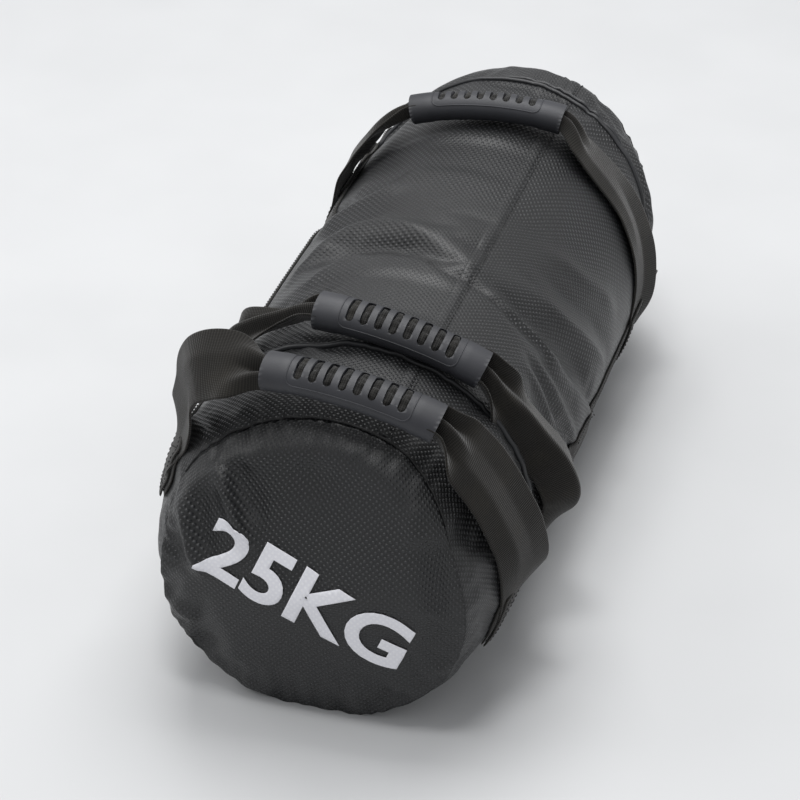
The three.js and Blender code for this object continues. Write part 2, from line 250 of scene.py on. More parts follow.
def tarpaulin():
    material, tree, shader = start_material("pvc_coated_tarpaulin", IOR=1.53, Coat_Weight=0.22, Coat_Roughness=0.38)
    beads = bead_height(tree)
    own = node(tree, "ShaderNodeTexCoord").outputs["Object"]
    dust = node(tree, "ShaderNodeTexNoise", None, {"Vector": own, "Scale": 9, "Detail": 4}).outputs["Fac"]
    grain = node(tree, "ShaderNodeTexNoise", None, {"Vector": own, "Scale": 900, "Detail": 3}).outputs["Fac"]
    # painted glint: the bead tops take the lighter colour and the ground between them the darker one
    bead_glint_painted = mix_colours(tree, beads, colour("#0a0b0c"), colour("#292a2d"))
    dusty = spread_range(tree, dust, 0.42, 0.75, 0, 0.22, smooth=True)
    tree.links.new(mix_colours(tree, dusty, bead_glint_painted, colour("#2c2d30")), shader.inputs["Base Color"])
    worn = spread_range(tree, beads, 0, 1, 0.5, 0.26)
    uneven = spread_range(tree, dust, 0.3, 0.7, -0.04, 0.07)
    rough = node(tree, "ShaderNodeMath", {"operation": "ADD"}, {0: worn, 1: uneven})
    tree.links.new(rough.outputs[0], shader.inputs["Roughness"])
    fine = node(tree, "ShaderNodeBump", None, {"Strength": 0.25, "Distance": 0.1 * MM, "Height": grain})
    links = {"Strength": 1.0, "Distance": 0.75 * MM, "Height": beads, "Normal": fine.outputs[0]}
    raised = node(tree, "ShaderNodeBump", None, links)
    tree.links.new(raised.outputs[0], shader.inputs["Normal"])
    return material


TARPAULIN = tarpaulin()

# %% [markdown]
# ## Webbing
#
# The handles are black-brown polypropylene webbing: thick weft ribs across its width, crossed by
# fine warp ends. The real ribs are under a millimetre apart, so they are drawn a little coarser.
# The grooves of the weave are painted darker and the rib tops lighter, a painted shade.

# %% Webbing
RIB_PITCH = 1.5 * MM
WARP_PITCH = 1.15 * MM


def wave(tree, coordinate, pitch):
    """A smooth wave from 0 to 1 along one coordinate."""
    turned = node(tree, "ShaderNodeMath", {"operation": "MULTIPLY"}, {0: coordinate, 1: 2 * math.pi / pitch})
    sine = node(tree, "ShaderNodeMath", {"operation": "SINE"}, {0: turned.outputs[0]})
    return spread_range(tree, sine.outputs[0], -1, 1, 0, 1)


def webbing(name, dark, light):
    material, tree, shader = start_material(name, Sheen_Weight=0.25, Sheen_Roughness=0.4)
    shader.inputs["Specular IOR Level"].default_value = 0.25
    lay = node(tree, "ShaderNodeUVMap", {"uv_map": "lay"}).outputs[0]
    parts = node(tree, "ShaderNodeSeparateXYZ", None, {0: lay})
    ribs = wave(tree, parts.outputs[1], RIB_PITCH)
    ends = wave(tree, parts.outputs[0], WARP_PITCH)
    weave = node(tree, "ShaderNodeMath", {"operation": "MULTIPLY_ADD"}, {0: ends, 1: 0.45, 2: ribs})
    height = spread_range(tree, weave.outputs[0], 0, 1.45, 0, 1)
    own = node(tree, "ShaderNodeTexCoord").outputs["Object"]
    fade = node(tree, "ShaderNodeTexNoise", None, {"Vector": own, "Scale": 40, "Detail": 5}).outputs["Fac"]
    # painted shade: the weave's grooves take the dark colour and the raised ribs the light one
    weave_painted_shade = mix_colours(tree, height, colour(dark), colour(light))
    faded = spread_range(tree, fade, 0.45, 0.8, 0, 0.35, smooth=True)
    tree.links.new(mix_colours(tree, faded, weave_painted_shade, colour("#38352f")), shader.inputs["Base Color"])
    tree.links.new(spread_range(tree, fade, 0.2, 0.8, 0.78, 0.95), shader.inputs["Roughness"])
    bump = node(tree, "ShaderNodeBump", None, {"Strength": 0.9, "Distance": 0.35 * MM, "Height": height})
    tree.links.new(bump.outputs[0], shader.inputs["Normal"])
    return material


WEBBING_CLOTH = webbing("polypropylene_webbing", "#131210", "#2b2926")
BRAID = webbing("braided_core", "#0f0f0f", "#2e2d2b")

# %% [markdown]
# ## Rubber, thread, print and filling
#
# The grips are moulded rubber, matte with a faint grain. The thread is black bonded nylon. The
# marking is white ink over the beads, so it keeps a trace of them. Inside, out of sight, are
# needled wadding, polyethylene pouches, sand and cable ties.

# %% Other materials


def grained(name, dark, light, rough, scale, depth, **constants):
    """A plain finish with uneven colour and a grain of its own."""
    material, tree, shader = start_material(name, **constants)
    own = node(tree, "ShaderNodeTexCoord").outputs["Object"]
    broad = node(tree, "ShaderNodeTexNoise", None, {"Vector": own, "Scale": 25, "Detail": 4}).outputs["Fac"]
    grain = node(tree, "ShaderNodeTexNoise", None, {"Vector": own, "Scale": scale, "Detail": 3}).outputs["Fac"]
    shade = spread_range(tree, broad, 0.3, 0.7, 0, 1, smooth=True)
    tree.links.new(mix_colours(tree, shade, colour(dark), colour(light)), shader.inputs["Base Color"])
    tree.links.new(spread_range(tree, grain, 0.3, 0.7, rough - 0.05, rough + 0.06), shader.inputs["Roughness"])
    bump = node(tree, "ShaderNodeBump", None, {"Strength": 0.4, "Distance": depth, "Height": grain})
    tree.links.new(bump.outputs[0], shader.inputs["Normal"])
    return material


def marking_ink():
    material, tree, shader = start_material("screen_printed_ink", IOR=1.5)
    beads = bead_height(tree)
    tree.links.new(mix_colours(tree, beads, colour("#eeeef4"), colour("#f6f6fa")), shader.inputs["Base Color"])
    tree.links.new(spread_range(tree, beads, 0, 1, 0.6, 0.5), shader.inputs["Roughness"])
    bump = node(tree, "ShaderNodeBump", None, {"Strength": 0.35, "Distance": 0.2 * MM, "Height": beads})
    tree.links.new(bump.outputs[0], shader.inputs["Normal"])
    return material


RUBBER = grained("moulded_rubber", "#2b2c30", "#333439", 0.52, 1400, 0.08 * MM, IOR=1.5)
THREAD = grained("bonded_nylon_thread", "#0c0c0d", "#151516", 0.6, 1800, 0.1 * MM)
PIPING = grained("welted_tarpaulin", "#1c1d1f", "#26272a", 0.42, 1200, 0.08 * MM, IOR=1.53)
FLEECE = grained("needled_wadding", "#8d877b", "#a8a397", 0.95, 500, 0.6 * MM)
FILM = grained("polyethylene_film", "#b3b6b0", "#c3c6c0", 0.35, 60, 0.8 * MM)
SAND = grained("washed_sand", "#a98f62", "#c4aa7c", 0.95, 1600, 0.4 * MM)
NYLON = grained("moulded_nylon", "#dedcd4", "#e8e6df", 0.45, 900, 0.05 * MM)
INK = marking_ink()

for name, finish in (("wadding", FLEECE), ("sand_pouch", FILM), ("sand_fill", SAND), ("pouch_tie", NYLON)):
    for key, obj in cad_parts.items():
        if key.startswith(name):
            obj.data.materials.clear()
            obj.data.materials.append(finish)

# %% [markdown]
# ## The skin, before it wrinkles
#
# The whole skin is one closed surface first, so that its panels pull on each other as sewn cloth
# does. An outline is spun about the bag's length, and each vertex is then carried from the straight
# bag to the settled one. Along the outline a vertex is known by its distance from the middle of the
# near end. The near end's seam sits higher over the top, where the panel wraps round the shoulder.

# %% Spin the outline
AROUND = 156
RING = 4.6
NEAR_EDGE = skin_radius(NEAR_RIM)
FAR_EDGE = skin_radius(FAR_RIM)
RIM_AT = NEAR_EDGE
LAST_RIM_AT = NEAR_EDGE + FAR_RIM - NEAR_RIM
END_AT = LAST_RIM_AT + FAR_EDGE


def at(y):
    """Distance along the outline of a place on the side of the bag."""
    return RIM_AT + y - NEAR_RIM


def steps(start, end):
    return np.linspace(start, end, max(2, round((end - start) / RING) + 1))[1:]


def outline():
    marks = [0, RIM_AT, at(NEAR_SEAM), at(FAR_SEAM), LAST_RIM_AT, END_AT]
    return np.concatenate([[0.0]] + [steps(a, b) for a, b in zip(marks, marks[1:])])


def spun_skin():
    bm = bmesh.new()
    distances = outline()
    verts = []
    for distance in distances:
        if distance <= RIM_AT:
            radius, y = distance, NEAR_RIM
        elif distance <= LAST_RIM_AT:
            radius, y = NEAR_EDGE, NEAR_RIM + distance - RIM_AT
        else:
            radius, y = (END_AT - distance) * NEAR_EDGE / FAR_EDGE, FAR_RIM
        verts.append(bm.verts.new((radius, y, 0)))
    edges = [bm.edges.new(pair) for pair in zip(verts, verts[1:])]
    bmesh.ops.spin(bm, geom=verts + edges, cent=(0, 0, 0), axis=(0, 1, 0),
                   angle=2 * math.pi, steps=AROUND, use_merge=True)
    bmesh.ops.remove_doubles(bm, verts=bm.verts, dist=1e-4)
    bmesh.ops.recalc_face_normals(bm, faces=bm.faces)
    mesh = bpy.data.meshes.new("skin")
    bm.to_mesh(mesh)
    bm.free()
    return mesh


def read_places(mesh):
    values = np.empty(len(mesh.vertices) * 3, dtype=np.float32)
    mesh.vertices.foreach_get("co", values)
    return values.reshape(-1, 3).astype(float)


def write_places(mesh, places):
    mesh.vertices.foreach_set("co", np.ascontiguousarray(places, dtype=np.float32).ravel())
    mesh.update()


def normals_of(mesh):
    values = np.empty(len(mesh.vertices) * 3, dtype=np.float32)
    mesh.vertex_normals.foreach_get("vector", values)
    return values.reshape(-1, 3).astype(float)


skin = spun_skin()
straight = read_places(skin)
radius_of = np.hypot(straight[:, 0], straight[:, 2])
angle_of = np.arctan2(straight[:, 2], straight[:, 0])
on_near = (straight[:, 1] < NEAR_RIM + 0.01) & (radius_of < NEAR_EDGE - 0.01)
on_far = (straight[:, 1] > FAR_RIM - 0.01) & (radius_of < NEAR_EDGE - 0.01)
far_distance = END_AT - radius_of * FAR_EDGE / NEAR_EDGE
distance_of = np.where(on_near, radius_of, np.where(on_far, far_distance, at(straight[:, 1])))
print("skin:", len(skin.vertices), "vertices in", len(outline()), "rings")

# %% Carry the skin to where it rests
RIM_WRAP = 22
WRAP_REACH = at(-200)


def rim_shift(angle):
    """How far over the shoulder the near panel's seam sits, by angle round the bag."""
    degrees = np.degrees(angle)
    return RIM_WRAP * ease((degrees - 18) / 50) * ease((178 - degrees) / 40)


def shifted(distance, angle):
    """Stretches the near panel, and shortens its band, to put the seam where it is sewn."""
    shift = rim_shift(angle)
    panel = distance * (RIM_AT + shift) / RIM_AT
    band = RIM_AT + shift + (distance - RIM_AT) * (WRAP_REACH - RIM_AT - shift) / (WRAP_REACH - RIM_AT)
    return np.where(distance < RIM_AT, panel, np.where(distance < WRAP_REACH, band, distance))


def skin_place(distance, angle):
    """The settled place, in metres, of a distance along the outline and an angle."""
    y = np.clip(NEAR_RIM + distance - RIM_AT, NEAR_RIM, FAR_RIM)
    near = share(distance / NEAR_EDGE)
    far = share((END_AT - distance) / FAR_EDGE)
    radius = skin_radius(y) * np.minimum(near, far)
    y = y - DOME * (1 - near**2) + DOME * (1 - far**2)
    return settle(radius, angle, y)


def side(angle_degrees, y, proud=0.0):
    """A point on the side of the settled bag, from degrees and millimetres, in metres."""
    angle = np.radians(np.asarray(angle_degrees, dtype=float))
    y = np.asarray(y, dtype=float)
    return settle(skin_radius(y) + proud, angle, y)


lay_of = shifted(distance_of, angle_of)
write_places(skin, skin_place(lay_of, angle_of))
print("rim seam is raised by", round(float(rim_shift(np.radians(90))), 1), "mm over the top")

# %% [markdown]
# ## A flat map of the skin
#
# The UV map is in metres on the cloth itself: round and along on the sides, and straight across on
# the two ends, which are cut as discs. The sides' map is cut open underneath.

# %% Map the skin
PANELS = ("near_end_panel", "near_end_band", "centre_panel", "far_end_band", "far_end_panel")


def map_skin(mesh):
    loops = len(mesh.loops)
    corner = np.empty(loops, dtype=np.int32)
    mesh.loops.foreach_get("vertex_index", corner)
    total = np.empty(len(mesh.polygons), dtype=np.int32)
    mesh.polygons.foreach_get("loop_total", total)
    start = np.concatenate([[0], np.cumsum(total)[:-1]])
    middle = np.add.reduceat(distance_of[corner], start) / total
    across = np.add.reduceat(np.cos(angle_of[corner]), start)
    up = np.add.reduceat(np.sin(angle_of[corner]), start)
    face_angle = (np.arctan2(up, across) + math.pi / 2) % (2 * math.pi)
    angle = (angle_of[corner] + math.pi / 2) % (2 * math.pi)
    own_angle = np.repeat(face_angle, total)
    angle = angle - 2 * math.pi * np.round((angle - own_angle) / (2 * math.pi))
    flat = np.stack([angle * BAG_RADIUS, lay_of[corner]], axis=-1)
    piece = np.searchsorted([RIM_AT, at(NEAR_SEAM), at(FAR_SEAM), LAST_RIM_AT], middle)
    ends = np.isin(np.repeat(piece, total), (0, 4))
    out = np.where(distance_of[corner] < RIM_AT + 1, lay_of[corner], END_AT - lay_of[corner])
    round_map = np.stack([out * np.cos(angle_of[corner]), out * np.sin(angle_of[corner])], axis=-1)
    uv = np.where(ends[:, None], round_map, flat) * MM
    layer = mesh.uv_layers.new(name="lay")
    layer.data.foreach_set("uv", np.ascontiguousarray(uv, dtype=np.float32).ravel())
    mesh.attributes.new("piece", "INT", "FACE").data.foreach_set("value", piece.astype(np.int32))


map_skin(skin)
print("panels:", ", ".join(PANELS))

# %% [markdown]
# ## Folds
#
# A fold is a line on the skin with a height and a width. The sand holds the cloth where it lies, so
# the folds are long and low. Each line is a few [angle, y] pairs, and heights under zero are
# valleys. Where a panel is sewn to its neighbour the cloth puckers, so short ripples run off every
# seam and die out within a few centimetres.

# %% Fold lines
SIDE_FOLDS = [
    # height, width, line
    (5.0, 13, [(139, -52), (134, -34), (123, -9), (112, 6), (101, 4), (88, -10), (77, -27)]),
    (-4.0, 12, [(127, -50), (114, -26), (102, -19), (92, -28), (84, -42)]),
    (3.6, 12, [(134, -100), (128, -84), (119, -62), (108, -48), (96, -50)]),
    (-2.6, 10, [(126, -108), (116, -88), (104, -80)]),
    (3.0, 8, [(138, 78), (123, 92), (114, 104), (104, 110), (90, 114)]),
    (-2.5, 9, [(136, 62), (120, 78), (106, 92), (94, 98)]),
    (2.8, 12, [(146, 40), (132, 52), (116, 62), (102, 66)]),
    (-2.4, 12, [(142, 18), (124, 30), (106, 34)]),
    (3.4, 5, [(68, -34), (60, -41), (50, -48), (38, -49), (27, -44), (16, -33)]),
    (-4.2, 11, [(60, -30), (48, -33), (34, -28), (18, -12), (4, 8)]),
    (2.6, 9, [(52, -6), (38, -4), (22, 12), (6, 32), (-8, 52)]),
    (-2.0, 9, [(52, 18), (36, 24), (20, 42), (2, 62)]),
    (2.0, 10, [(54, 44), (40, 52), (24, 68), (6, 90)]),
    (2.2, 5, [(44, -92), (32, -92), (20, -90), (4, -80), (-8, -62)]),
    (-2.4, 5, [(42, -82), (28, -81), (14, -74), (-2, -60)]),
    (2.2, 5, [(40, -72), (27, -70), (13, -62), (-4, -46), (-14, -30)]),
    (-2.4, 5, [(38, -62), (24, -58), (10, -48), (-8, -28)]),
    (1.8, 5, [(20, -36), (8, -24), (-8, 0), (-18, 20)]),
    (2.4, 6, [(118, -124), (108, -140), (97, -155), (84, -160)]),
    (-2.2, 6, [(124, -138), (112, -152), (100, -168), (88, -174)]),
    (2.2, 6, [(122, -172), (112, -182), (100, -186), (86, -184)]),
    (-2.0, 7, [(66, -140), (54, -146), (42, -146), (30, -138)]),
    (2.0, 7, [(60, -176), (46, -180), (30, -178), (14, -170)]),
    (-2.2, 7, [(62, -214), (50, -220), (38, -222), (22, -216)]),
    (2.6, 7, [(150, -196), (142, -222), (134, -244)]),
    (-2.4, 7, [(138, -190), (130, -214), (122, -236)]),
    (2.2, 8, [(40, 208), (28, 205), (14, 204), (0, 206)]),
    (-1.8, 8, [(64, 214), (50, 214), (36, 216)]),
    (2.0, 10, [(165, -120), (172, -90), (178, -60)]),
    (2.4, 11, [(168, 40), (176, 66), (184, 96)]),
    (-2.2, 11, [(160, 70), (170, 98), (178, 124)]),
    (2.2, 9, [(-34, -40), (-26, -8), (-20, 30)]),
]
PANEL_FOLDS = [
    # height, width, line of [angle, share of the panel's radius]
    (5.0, 5, [(127, 1.06), (129, 0.99), (131, 0.86), (133, 0.74), (135, 0.6), (138, 0.44)]),
    (-4.5, 8, [(119, 1.02), (122, 0.88), (122, 0.72), (120, 0.56)]),
    (4.6, 5, [(143, 1.04), (148, 0.95), (155, 0.86), (163, 0.77), (171, 0.7), (180, 0.66)]),
    (-4.2, 7, [(137, 1.0), (144, 0.88), (153, 0.74), (160, 0.62)]),
    (-3.0, 8, [(160, 1.0), (168, 0.9), (177, 0.82)]),
    (2.6, 7, [(196, 1.0), (200, 0.92), (206, 0.8)]),
    (-2.4, 6, [(216, 1.0), (218, 0.9), (222, 0.8)]),
    (-1.8, 14, [(94, 0.98), (92, 0.8), (90, 0.6)]),
    (2.0, 6, [(52, 1.0), (46, 0.9), (36, 0.82)]),
    (-2.2, 7, [(40, 0.97), (30, 0.9), (16, 0.86), (0, 0.86)]),
    (2.0, 6, [(-22, 1.0), (-26, 0.92), (-34, 0.84)]),
    (-2.0, 6, [(-50, 1.0), (-52, 0.9), (-58, 0.82)]),
]
FAR_FOLDS = [
    (3.6, 8, [(60, 1.0), (56, 0.8), (60, 0.6)]),
    (-3.2, 9, [(86, 1.0), (88, 0.8), (84, 0.6)]),
    (3.4, 8, [(116, 1.0), (118, 0.82), (112, 0.62)]),
    (3.0, 8, [(10, 1.0), (12, 0.82), (20, 0.66)]),
    (-3.0, 8, [(-14, 1.0), (-12, 0.84), (-4, 0.7)]),
    (3.2, 8, [(166, 1.0), (162, 0.84), (156, 0.68)]),
    (2.6, 7, [(216, 1.0), (214, 0.88), (208, 0.76)]),
]


FOLD_GAIN, END_GAIN = 1.6, 2.1
MAX_VALLEY = 4.5  # deeper, and the wadding would be pressed through


def line_weight(places, line, width):
    """How strongly a fold line acts at each place: 1 on the line, fading aside and at its ends."""
    nearest = np.full(len(places), np.inf)
    along = np.zeros(len(places))
    lengths = np.linalg.norm(np.diff(line, axis=0), axis=1)
    total = lengths.sum()
    before = 0.0
    for start, end, length in zip(line, line[1:], lengths):
        part = share((places - start) @ (end - start) / length**2)
        apart = np.linalg.norm(places - (start + part[:, None] * (end - start)), axis=1)
        closer = apart < nearest
        nearest = np.where(closer, apart, nearest)
        along = np.where(closer, (before + part * length) / total, along)
        before += length
    fade = ease(along / 0.3) * ease((1 - along) / 0.3)
    crest = 0.3 * width
    return np.exp(-(np.hypot(nearest, crest) - crest) / (0.62 * width)) * fade


def smooth_line(points, count=14):
    """More points on the soft curve through a few, so that a fold has no corners."""
    points = np.asarray(points, dtype=float)
    padded = np.concatenate([[2 * points[0] - points[1]], points, [2 * points[-1] - points[-2]]])
    knots = np.concatenate([[0], np.cumsum(np.sqrt(np.linalg.norm(np.diff(padded, axis=0), axis=1)))])
    place = np.linspace(knots[1], knots[-2], count)
    whole = np.clip(np.searchsorted(knots, place, side="right") - 1, 1, len(points) - 1)

    def between(first, second, low, high):
        part = ((place - knots[low]) / (knots[high] - knots[low]))[:, None]
        return first * (1 - part) + second * part

    a, b, c, d = (padded[whole + i] for i in (-1, 0, 1, 2))
    ab, bc, cd = (between(x, y, whole + i, whole + i + 1) for x, y, i in ((a, b, -1), (b, c, 0), (c, d, 1)))
    abc, bcd = between(ab, bc, whole - 1, whole + 1), between(bc, cd, whole, whole + 2)
    return between(abc, bcd, whole, whole + 1)


def fold_skin(mesh):
    places = read_places(mesh)
    normals = normals_of(mesh)
    rise = np.zeros(len(places))
    for height, width, line in SIDE_FOLDS:
        curve = smooth_line(line)
        rise += FOLD_GAIN * height * line_weight(places, side(curve[:, 0], curve[:, 1]), width * MM)
    for edge, folds in ((0, PANEL_FOLDS), (1, FAR_FOLDS)):
        for height, width, line in folds:
            curve = smooth_line(line)
            out = curve[:, 1] * (FAR_EDGE if edge else NEAR_EDGE)
            points = skin_place(END_AT - out if edge else out, np.radians(curve[:, 0]))
            rise += END_GAIN * height * line_weight(places, points, width * MM)
    rise = np.where(rise < 0, -MAX_VALLEY * np.tanh(-rise / MAX_VALLEY), rise)
    write_places(mesh, places + normals * (rise * MM)[:, None])
    return rise


rise = fold_skin(skin)
print("folds stand", round(float(rise.max()), 1), "mm proud and", round(float(-rise.min()), 1), "mm deep")

# %% Puckers and grooves along the seams
SEAMS = ((RIM_AT, 1.6, 1.0), (at(NEAR_SEAM), 0.8, 0.7), (at(FAR_SEAM), 0.9, 0.8), (LAST_RIM_AT, 1.4, 1.0))
PUCKER_REACH = 11
GROOVE_WIDTH = 2.6
PUCKER_PITCH = 15


def uneven(value, seed):
    """Slow, repeatable wandering between about -1 and 1, the same at 0 and at a full turn."""
    return sum(noise.noise(Vector((math.cos(value) * k, math.sin(value) * k, seed))) for k in (1.5, 4)) * 1.2


def pucker_skin(mesh):
    places = read_places(mesh)
    normals = normals_of(mesh)
    angle_of_degrees = np.degrees(angle_of)
    count = 2 * math.pi * BAG_RADIUS / PUCKER_PITCH
    rise = np.zeros(len(places))
    for seed, (seam, height, groove) in enumerate(SEAMS):
        away = distance_of - seam
        close = np.abs(away) < 3 * PUCKER_REACH
        phase = np.array([uneven(a, seed + 0.5) if c else 0.0 for a, c in zip(angle_of, close)])
        sway = np.array([uneven(a + 0.7, seed + 7.3) if c else 0.0 for a, c in zip(angle_of, close)])
        open_side = ease((angle_of_degrees - 60) / 15) * ease((140 - angle_of_degrees) / 15)
        groove = groove * (open_side if seed == 0 else 1)
        ripple = np.cos(angle_of * round(count) + 5 * phase + 0.5 * np.sign(away))
        rise += height * (0.5 + 0.8 * sway) * ripple * np.exp(-((away / PUCKER_REACH) ** 2))
        rise -= groove * np.exp(-((away / GROOVE_WIDTH) ** 2))
    write_places(mesh, places + normals * (rise * MM)[:, None])


pucker_skin(skin)
print("puckers every", PUCKER_PITCH, "mm along", len(SEAMS), "seams")

# %% [markdown]
# ## Let the cloth settle
#
# The drawn folds are even and a little too neat. A short cloth simulation eases them: the seams and
# the underside are held, the sand's push is a small pressure with gravity off, and the cloth is a
# few percent longer than its place, so it buckles between its seams as slack tarpaulin does. No
# vertex may move more than the cap, which keeps the bag at its size.

# %% Cloth simulation
CLOTH_FRAMES = 20
CLOTH_CAP = 5.0
CLOTH_SLACK = -0.035
HELD_HEIGHT = 3.0


def simulate_cloth(mesh):
    start = read_places(mesh)
    held = start[:, 2] < HELD_HEIGHT * MM
    for seam, _, _ in SEAMS:
        held |= np.abs(distance_of - seam) < 1.0
    obj = bpy.data.objects.new("skin_cloth", mesh)
    scene.collection.objects.link(obj)
    obj.vertex_groups.new(name="held").add([int(i) for i in np.flatnonzero(held)], 1.0, "REPLACE")
    cloth = obj.modifiers.new("Cloth", "CLOTH")
    settings = cloth.settings
    settings.quality = 5
    settings.mass = 0.25
    settings.tension_stiffness = 12
    settings.compression_stiffness = 12
    settings.shear_stiffness = 6
    settings.bending_stiffness = 0.8
    settings.air_damping = 2
    settings.vertex_group_mass = "held"
    settings.pin_stiffness = 1
    settings.use_pressure = True
    settings.uniform_pressure_force = 3
    settings.shrink_min = CLOTH_SLACK
    settings.effector_weights.gravity = 0
    cloth.collision_settings.use_collision = False
    cloth.point_cache.frame_start = 1
    cloth.point_cache.frame_end = CLOTH_FRAMES
    for step in range(1, CLOTH_FRAMES + 1):
        scene.frame_set(step)
    settled = obj.evaluated_get(bpy.context.evaluated_depsgraph_get())
    moved = read_places(settled.data) - start
    scene.frame_set(1)
    bpy.data.objects.remove(obj)
    far = np.linalg.norm(moved, axis=1)
    kept = np.minimum(1, CLOTH_CAP * MM / np.maximum(far, 1e-9))
    write_places(mesh, start + moved * kept[:, None])
    return far


moved = simulate_cloth(skin)
print("cloth moved", round(float(moved.mean()) * 1000, 2), "mm on average, at most",
      round(float(moved.max()) * 1000, 1), "before the cap")
places = read_places(skin)
places[:, 2] = np.maximum(places[:, 2], 0)
write_places(skin, places)

# %% [markdown]
# ## Room for the grips
#
# A grip lies on the crown, and comes down a little further along when its handle falls the other
# way. The heavy grips press the cloth smooth in those places, so its folds are kept low there.

# %% Room for the grips
GRIP_ROOM = 0.8
GRIP_PLACES = (-234, -193, -156, -94, 117, 179)
GRIP_REACH, GRIP_FADE = 31, 12


def leave_room(mesh):
    places = read_places(mesh)
    smooth = skin_place(lay_of, angle_of)
    out = smooth * (1, 0, 1) - (0, 0, float(centre_height(0)) * MM)
    out /= np.maximum(np.linalg.norm(out, axis=1), 1e-9)[:, None]
    rise = ((places - smooth) * out).sum(axis=1) / MM
    degrees = np.degrees(angle_of)
    over = ease((degrees - 36) / GRIP_FADE) * ease((134 - degrees) / GRIP_FADE)
    for y in GRIP_PLACES:
        near_grip = over * ease((GRIP_REACH - np.abs(smooth[:, 1] / MM - y)) / GRIP_FADE)
        pressed = np.maximum(rise - GRIP_ROOM, 0) * near_grip
        places -= out * (pressed * MM)[:, None]
        rise -= pressed
    write_places(mesh, places)


leave_room(skin)
print("room left at", len(GRIP_PLACES), "places on the crown")

# %% [markdown]
# ## Press the wadding in
#
# The wadding fills the bag, so where the skin folds inwards the wadding gives way. Its packed
# solids are copied, cut finer and pressed in wherever they come too near the skin.

# %% Wadding
WADDING_CLEAR = 3.2
WADDING_EDGE = 7


def press_wadding(name):
    bm = bmesh.new()
    bm.from_mesh(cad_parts[name].data)
    bmesh.ops.remove_doubles(bm, verts=bm.verts, dist=1e-6)
    for _ in range(6):
        long_edges = [e for e in bm.edges if e.calc_length() > WADDING_EDGE * MM]
        bmesh.ops.subdivide_edges(bm, edges=long_edges, cuts=1)
        bmesh.ops.triangulate(bm, faces=bm.faces)
    for vert in bm.verts:
        spot, normal, _, _ = cloth_tree.find_nearest(vert.co)
        if (spot - vert.co).dot(normal) < WADDING_CLEAR * MM:
            vert.co = spot - normal * WADDING_CLEAR * MM
    mesh = bpy.data.meshes.new(name + "_pressed")
    bm.to_mesh(mesh)
    bm.free()
    piece = new_piece(name + "_pressed", mesh, FLEECE)
    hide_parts(name)
    return len(mesh.polygons)


# %% [markdown]
# ## Lay things on the skin
#
# Straps, seams and print all lie on the wrinkled skin, so one helper finds it: it takes a point of
# the smooth bag and moves it to the nearest point of the cloth, a given height proud of it.

# %% Find the cloth
skin_finder = bmesh.new()
skin_finder.from_mesh(skin)
bmesh.ops.triangulate(skin_finder, faces=skin_finder.faces)
cloth_tree = BVHTree.FromBMesh(skin_finder)
skin_finder.free()


def outward(angle_degrees, y):
    """The smooth bag's outward direction at a place on its side."""
    around = side(angle_degrees + 0.5, y) - side(angle_degrees - 0.5, y)
    along = side(angle_degrees, y + 0.5) - side(angle_degrees, y - 0.5)
    out = Vector(around).cross(Vector(along)).normalized()
    return out if out.dot(Vector((math.cos(math.radians(angle_degrees)), 0, math.sin(math.radians(angle_degrees))))) > 0 else -out


def on_cloth(angle_degrees, y, proud):
    """A point above the wrinkled cloth, in metres. Proud is in millimetres."""
    out = outward(angle_degrees, y)
    smooth = Vector(side(angle_degrees, y))
    hit = cloth_tree.ray_cast(smooth + out * 0.03, -out, 0.06)[0]
    return (hit if hit is not None else smooth) + out * proud * MM


def new_piece(name, mesh, finish, body="root"):
    """Shows a finished mesh as a piece of the bag."""
    places = read_places(mesh)
    places[:, 2] = np.maximum(places[:, 2], 0)
    write_places(mesh, places)
    obj = bpy.data.objects.new(name, mesh)
    scene.collection.objects.link(obj)
    mesh.materials.clear()
    mesh.materials.append(finish)
    mesh.shade_smooth()
    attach(obj, body)
    return obj


for name in [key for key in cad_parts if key.startswith("wadding")]:
    print(name, "pressed in,", press_wadding(name), "faces")

# %% [markdown]
# ## Cut the skin into its panels
#
# Each panel is a copy of the skin with the others' faces deleted, so neighbours share a seam to the
# last vertex. A subdivision surface rounds the folds, and Solidify gives the cloth its thickness.

# %% The five panels
CLOTH_THICKNESS = 1.1


def cut_panel(index, name):
    mesh = skin.copy()
    bm = bmesh.new()
    bm.from_mesh(mesh)
    piece = bm.faces.layers.int["piece"]
    others = [face for face in bm.faces if face[piece] != index]
    bmesh.ops.delete(bm, geom=others, context="FACES")
    bm.to_mesh(mesh)
    bm.free()
    mesh.name = name
    obj = new_piece(name + "_cloth", mesh, TARPAULIN)
    rounding = obj.modifiers.new("rounding", "SUBSURF")
    rounding.levels = rounding.render_levels = 1
    wall = obj.modifiers.new("wall", "SOLIDIFY")
    wall.thickness = CLOTH_THICKNESS * MM
    wall.offset = -1
    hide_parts(name)
    return obj


panels = [cut_panel(index, name) for index, name in enumerate(PANELS)]
print("panels cut:", [(p.name, len(p.data.polygons)) for p in panels])

# %% [markdown]
# ## Seams
#
# The near seam of the centre panel is piped: a cord in a fold of cloth. The far seam is a flat
# welt, two ridges with a line of thread between them. The rims and one more ring on the near band
# are plain seams, thin black lines sunk in the cloth. Each is a curve laid round the cloth and
# given a round section.

# %% Cords round the bag
RING_POINTS = 180


def cord_mesh(name, points, radius, closed=True, resolution=3):
    curve = bpy.data.curves.new(name, "CURVE")
    curve.dimensions = "3D"
    curve.bevel_depth = radius * MM
    curve.bevel_resolution = resolution
    curve.use_fill_caps = not closed
    spline = curve.splines.new("POLY")
    spline.points.add(len(points) - 1)
    for spot, place in zip(spline.points, points):
        spot.co = (*place, 1)
    spline.use_cyclic_u = closed
    obj = bpy.data.objects.new(name, curve)
    scene.collection.objects.link(obj)
    mesh = bpy.data.meshes.new_from_object(obj.evaluated_get(bpy.context.evaluated_depsgraph_get()))
    bpy.data.objects.remove(obj)
    bpy.data.curves.remove(curve)
    return mesh


